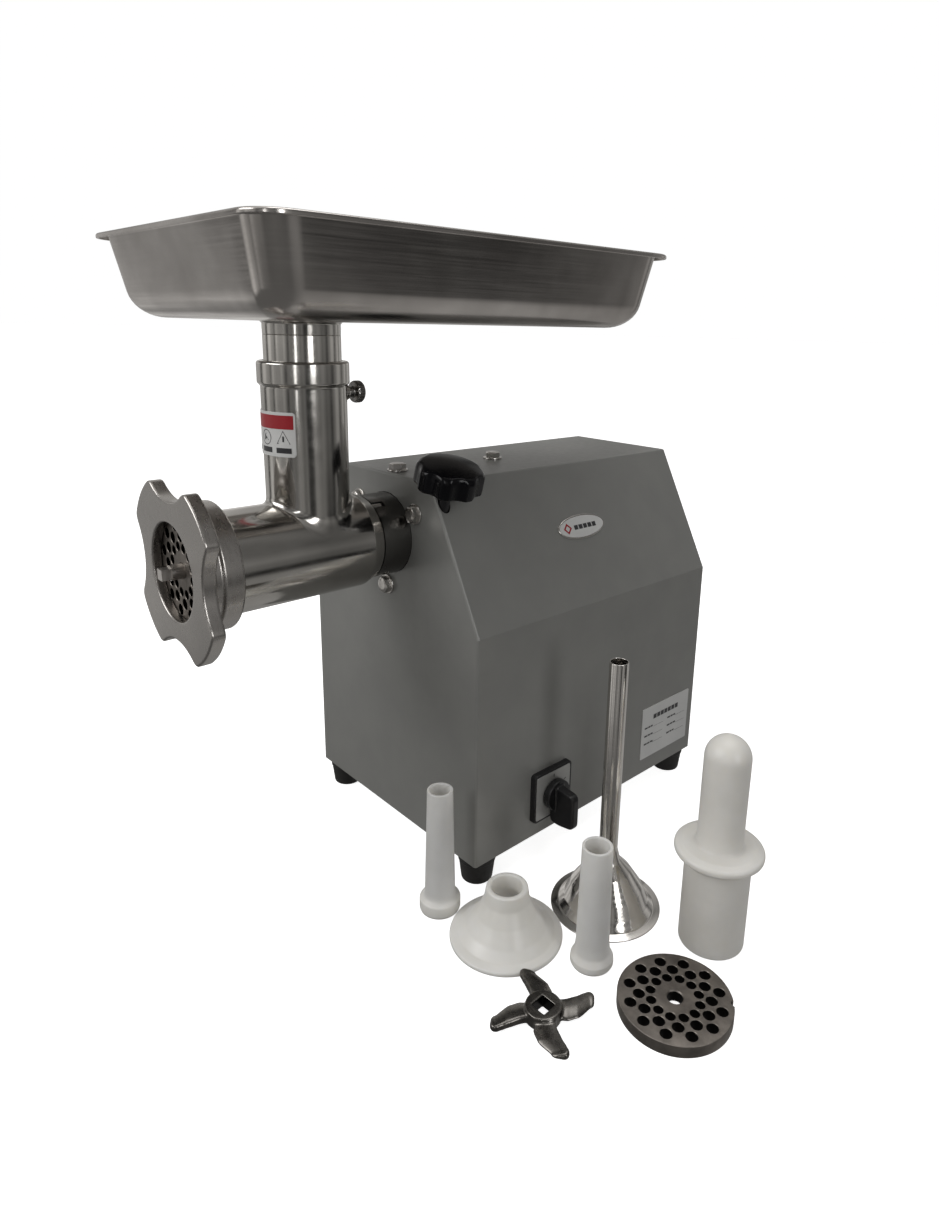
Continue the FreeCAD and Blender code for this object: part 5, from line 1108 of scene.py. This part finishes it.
def lamp(name, size, power, spot, target, size_y=None):
    """A soft rectangular lamp that shines from a spot at a target, in metres."""
    data = bpy.data.lights.new(name, "AREA")
    data.shape = "RECTANGLE"
    data.size = size
    data.size_y = size_y or size
    data.energy = power
    light = linked(name, data)
    light.location = spot
    light.rotation_mode = "QUATERNION"
    light.rotation_quaternion = (Vector(target) - Vector(spot)).to_track_quat("-Z", "Y")


lamp("key", 1.6, 24, (-0.7, -1.9, 1.5), (0, 0, 0.2), 1.2)
lamp("top", 1.2, 9, (0.1, 0.2, 2.1), (0, 0, 0.25))
lamp("side", 0.5, 10, (2.2, -0.4, 0.9), (0, 0, 0.2), 1.4)
lamp("strip", 0.12, 2.0, (1.3, -1.7, 0.75), (0, -0.2, 0.3), 1.2)


# The room's brightness over height (0 straight down, 1 straight up).
ROOM_LEVELS = ((0.0, 0.30), (0.2, 0.30), (0.34, 0.25), (0.45, 0.19), (0.53, 0.28), (0.66, 0.17), (0.85, 0.24),
               (1.0, 0.45))
BAND_CYCLES = 3.6
LIT_SIDE, DARK_SIDE = (-1.0, 0.1, 0), (0.83, 0.55, 0)


def studio_world():
    """Light and dark parts of a room round the object, for the metals to reflect."""
    world = bpy.data.worlds.new("studio")
    world.use_nodes = True
    tree = world.node_tree

    def maths(operation, a, b):
        node = tree.nodes.new("ShaderNodeMath")
        node.operation = operation
        for socket, value in zip(node.inputs, (a, b)):
            if isinstance(value, bpy.types.NodeSocket):
                tree.links.new(value, socket)
            else:
                socket.default_value = value
        return node.outputs[0]

    def vectors(operation, source, other=(0, 0, 0)):
        node = tree.nodes.new("ShaderNodeVectorMath")
        node.operation = operation
        node.inputs[1].default_value = other
        tree.links.new(source, node.inputs[0])
        return node.outputs["Value" if operation == "DOT_PRODUCT" else "Vector"]

    def stretched(value, low, high, to_low, to_high):
        return add_node(tree, "ShaderNodeMapRange", Value=value, From_Min=low, From_Max=high, To_Min=to_low,
                        To_Max=to_high).outputs["Result"]

    direction = tree.nodes.new("ShaderNodeTexCoord").outputs["Generated"]
    height = add_node(tree, "ShaderNodeSeparateXYZ", Vector=direction).outputs["Z"]
    around = vectors("NORMALIZE", vectors("MULTIPLY", direction, (1, 1, 0)))
    levels = add_node(tree, "ShaderNodeValToRGB", Fac=stretched(height, -1, 1, 0, 1))
    stops = levels.color_ramp.elements
    while len(stops) < len(ROOM_LEVELS):
        stops.new(0.5)
    for stop, (position, level) in zip(stops, ROOM_LEVELS):
        stop.position = position
        stop.color = (level, level * 0.985, level * 0.96, 1)
    bands = add_node(tree, "ShaderNodeTexNoise", Vector=around, Scale=BAND_CYCLES, Detail=1.0).outputs["Fac"]
    strength = maths("MULTIPLY", stretched(bands, 0.38, 0.62, 0.3, 1.9),
                     stretched(vectors("DOT_PRODUCT", around, LIT_SIDE), -0.8, 0.7, 0.62, 1.55))
    # A dark card low on one side, which the tray's wall and the barrel reflect.
    low = stretched(height, -0.16, -0.26, 0, 1)
    dark = maths("MULTIPLY", stretched(vectors("DOT_PRODUCT", around, DARK_SIDE), 0.935, 0.985, 0, 0.86), low)
    strength = maths("MULTIPLY", strength, maths("SUBTRACT", 1.0, dark))
    # The table below has no bands: it only gets lighter towards +Y.
    along = add_node(tree, "ShaderNodeSeparateXYZ", Vector=around).outputs["Y"]
    table = stretched(along, -0.2, 0.9, 0.45, 1.25)
    below = stretched(height, -0.33, -0.45, 0, 1)
    strength = maths("MULTIPLY", strength, maths("SUBTRACT", 1.0, below))
    strength = maths("ADD", strength, maths("MULTIPLY", table, below))
    tree.links.new(levels.outputs["Color"], tree.nodes["Background"].inputs["Color"])
    tree.links.new(strength, tree.nodes["Background"].inputs["Strength"])
    return world


scene.world = studio_world()
scene.view_settings.view_transform = "Standard"

camera_data = bpy.data.cameras.new("camera")
camera_data.sensor_width = 36
camera_data.lens = 23.89
camera_data.shift_x = -0.0361
camera_data.shift_y = -0.0641
camera_data.clip_start = 0.01
camera_data.clip_end = 100
camera = linked("camera", camera_data)
azimuth, elevation, roll = math.radians(46.142), math.radians(14.409), 0.024
level = math.cos(elevation)
ahead = Vector((-math.sin(azimuth) * level, math.cos(azimuth) * level, -math.sin(elevation)))
right = ahead.cross(Z).normalized()
above = right.cross(ahead)
level_right = right * math.cos(roll) + above * math.sin(roll)
level_up = -right * math.sin(roll) + above * math.cos(roll)
camera.rotation_mode = "QUATERNION"
camera.rotation_quaternion = Matrix((level_right, level_up, -ahead)).transposed().to_quaternion()
camera.location = Vector((477.45, -461.83, 400.27)) * MM
scene.camera = camera
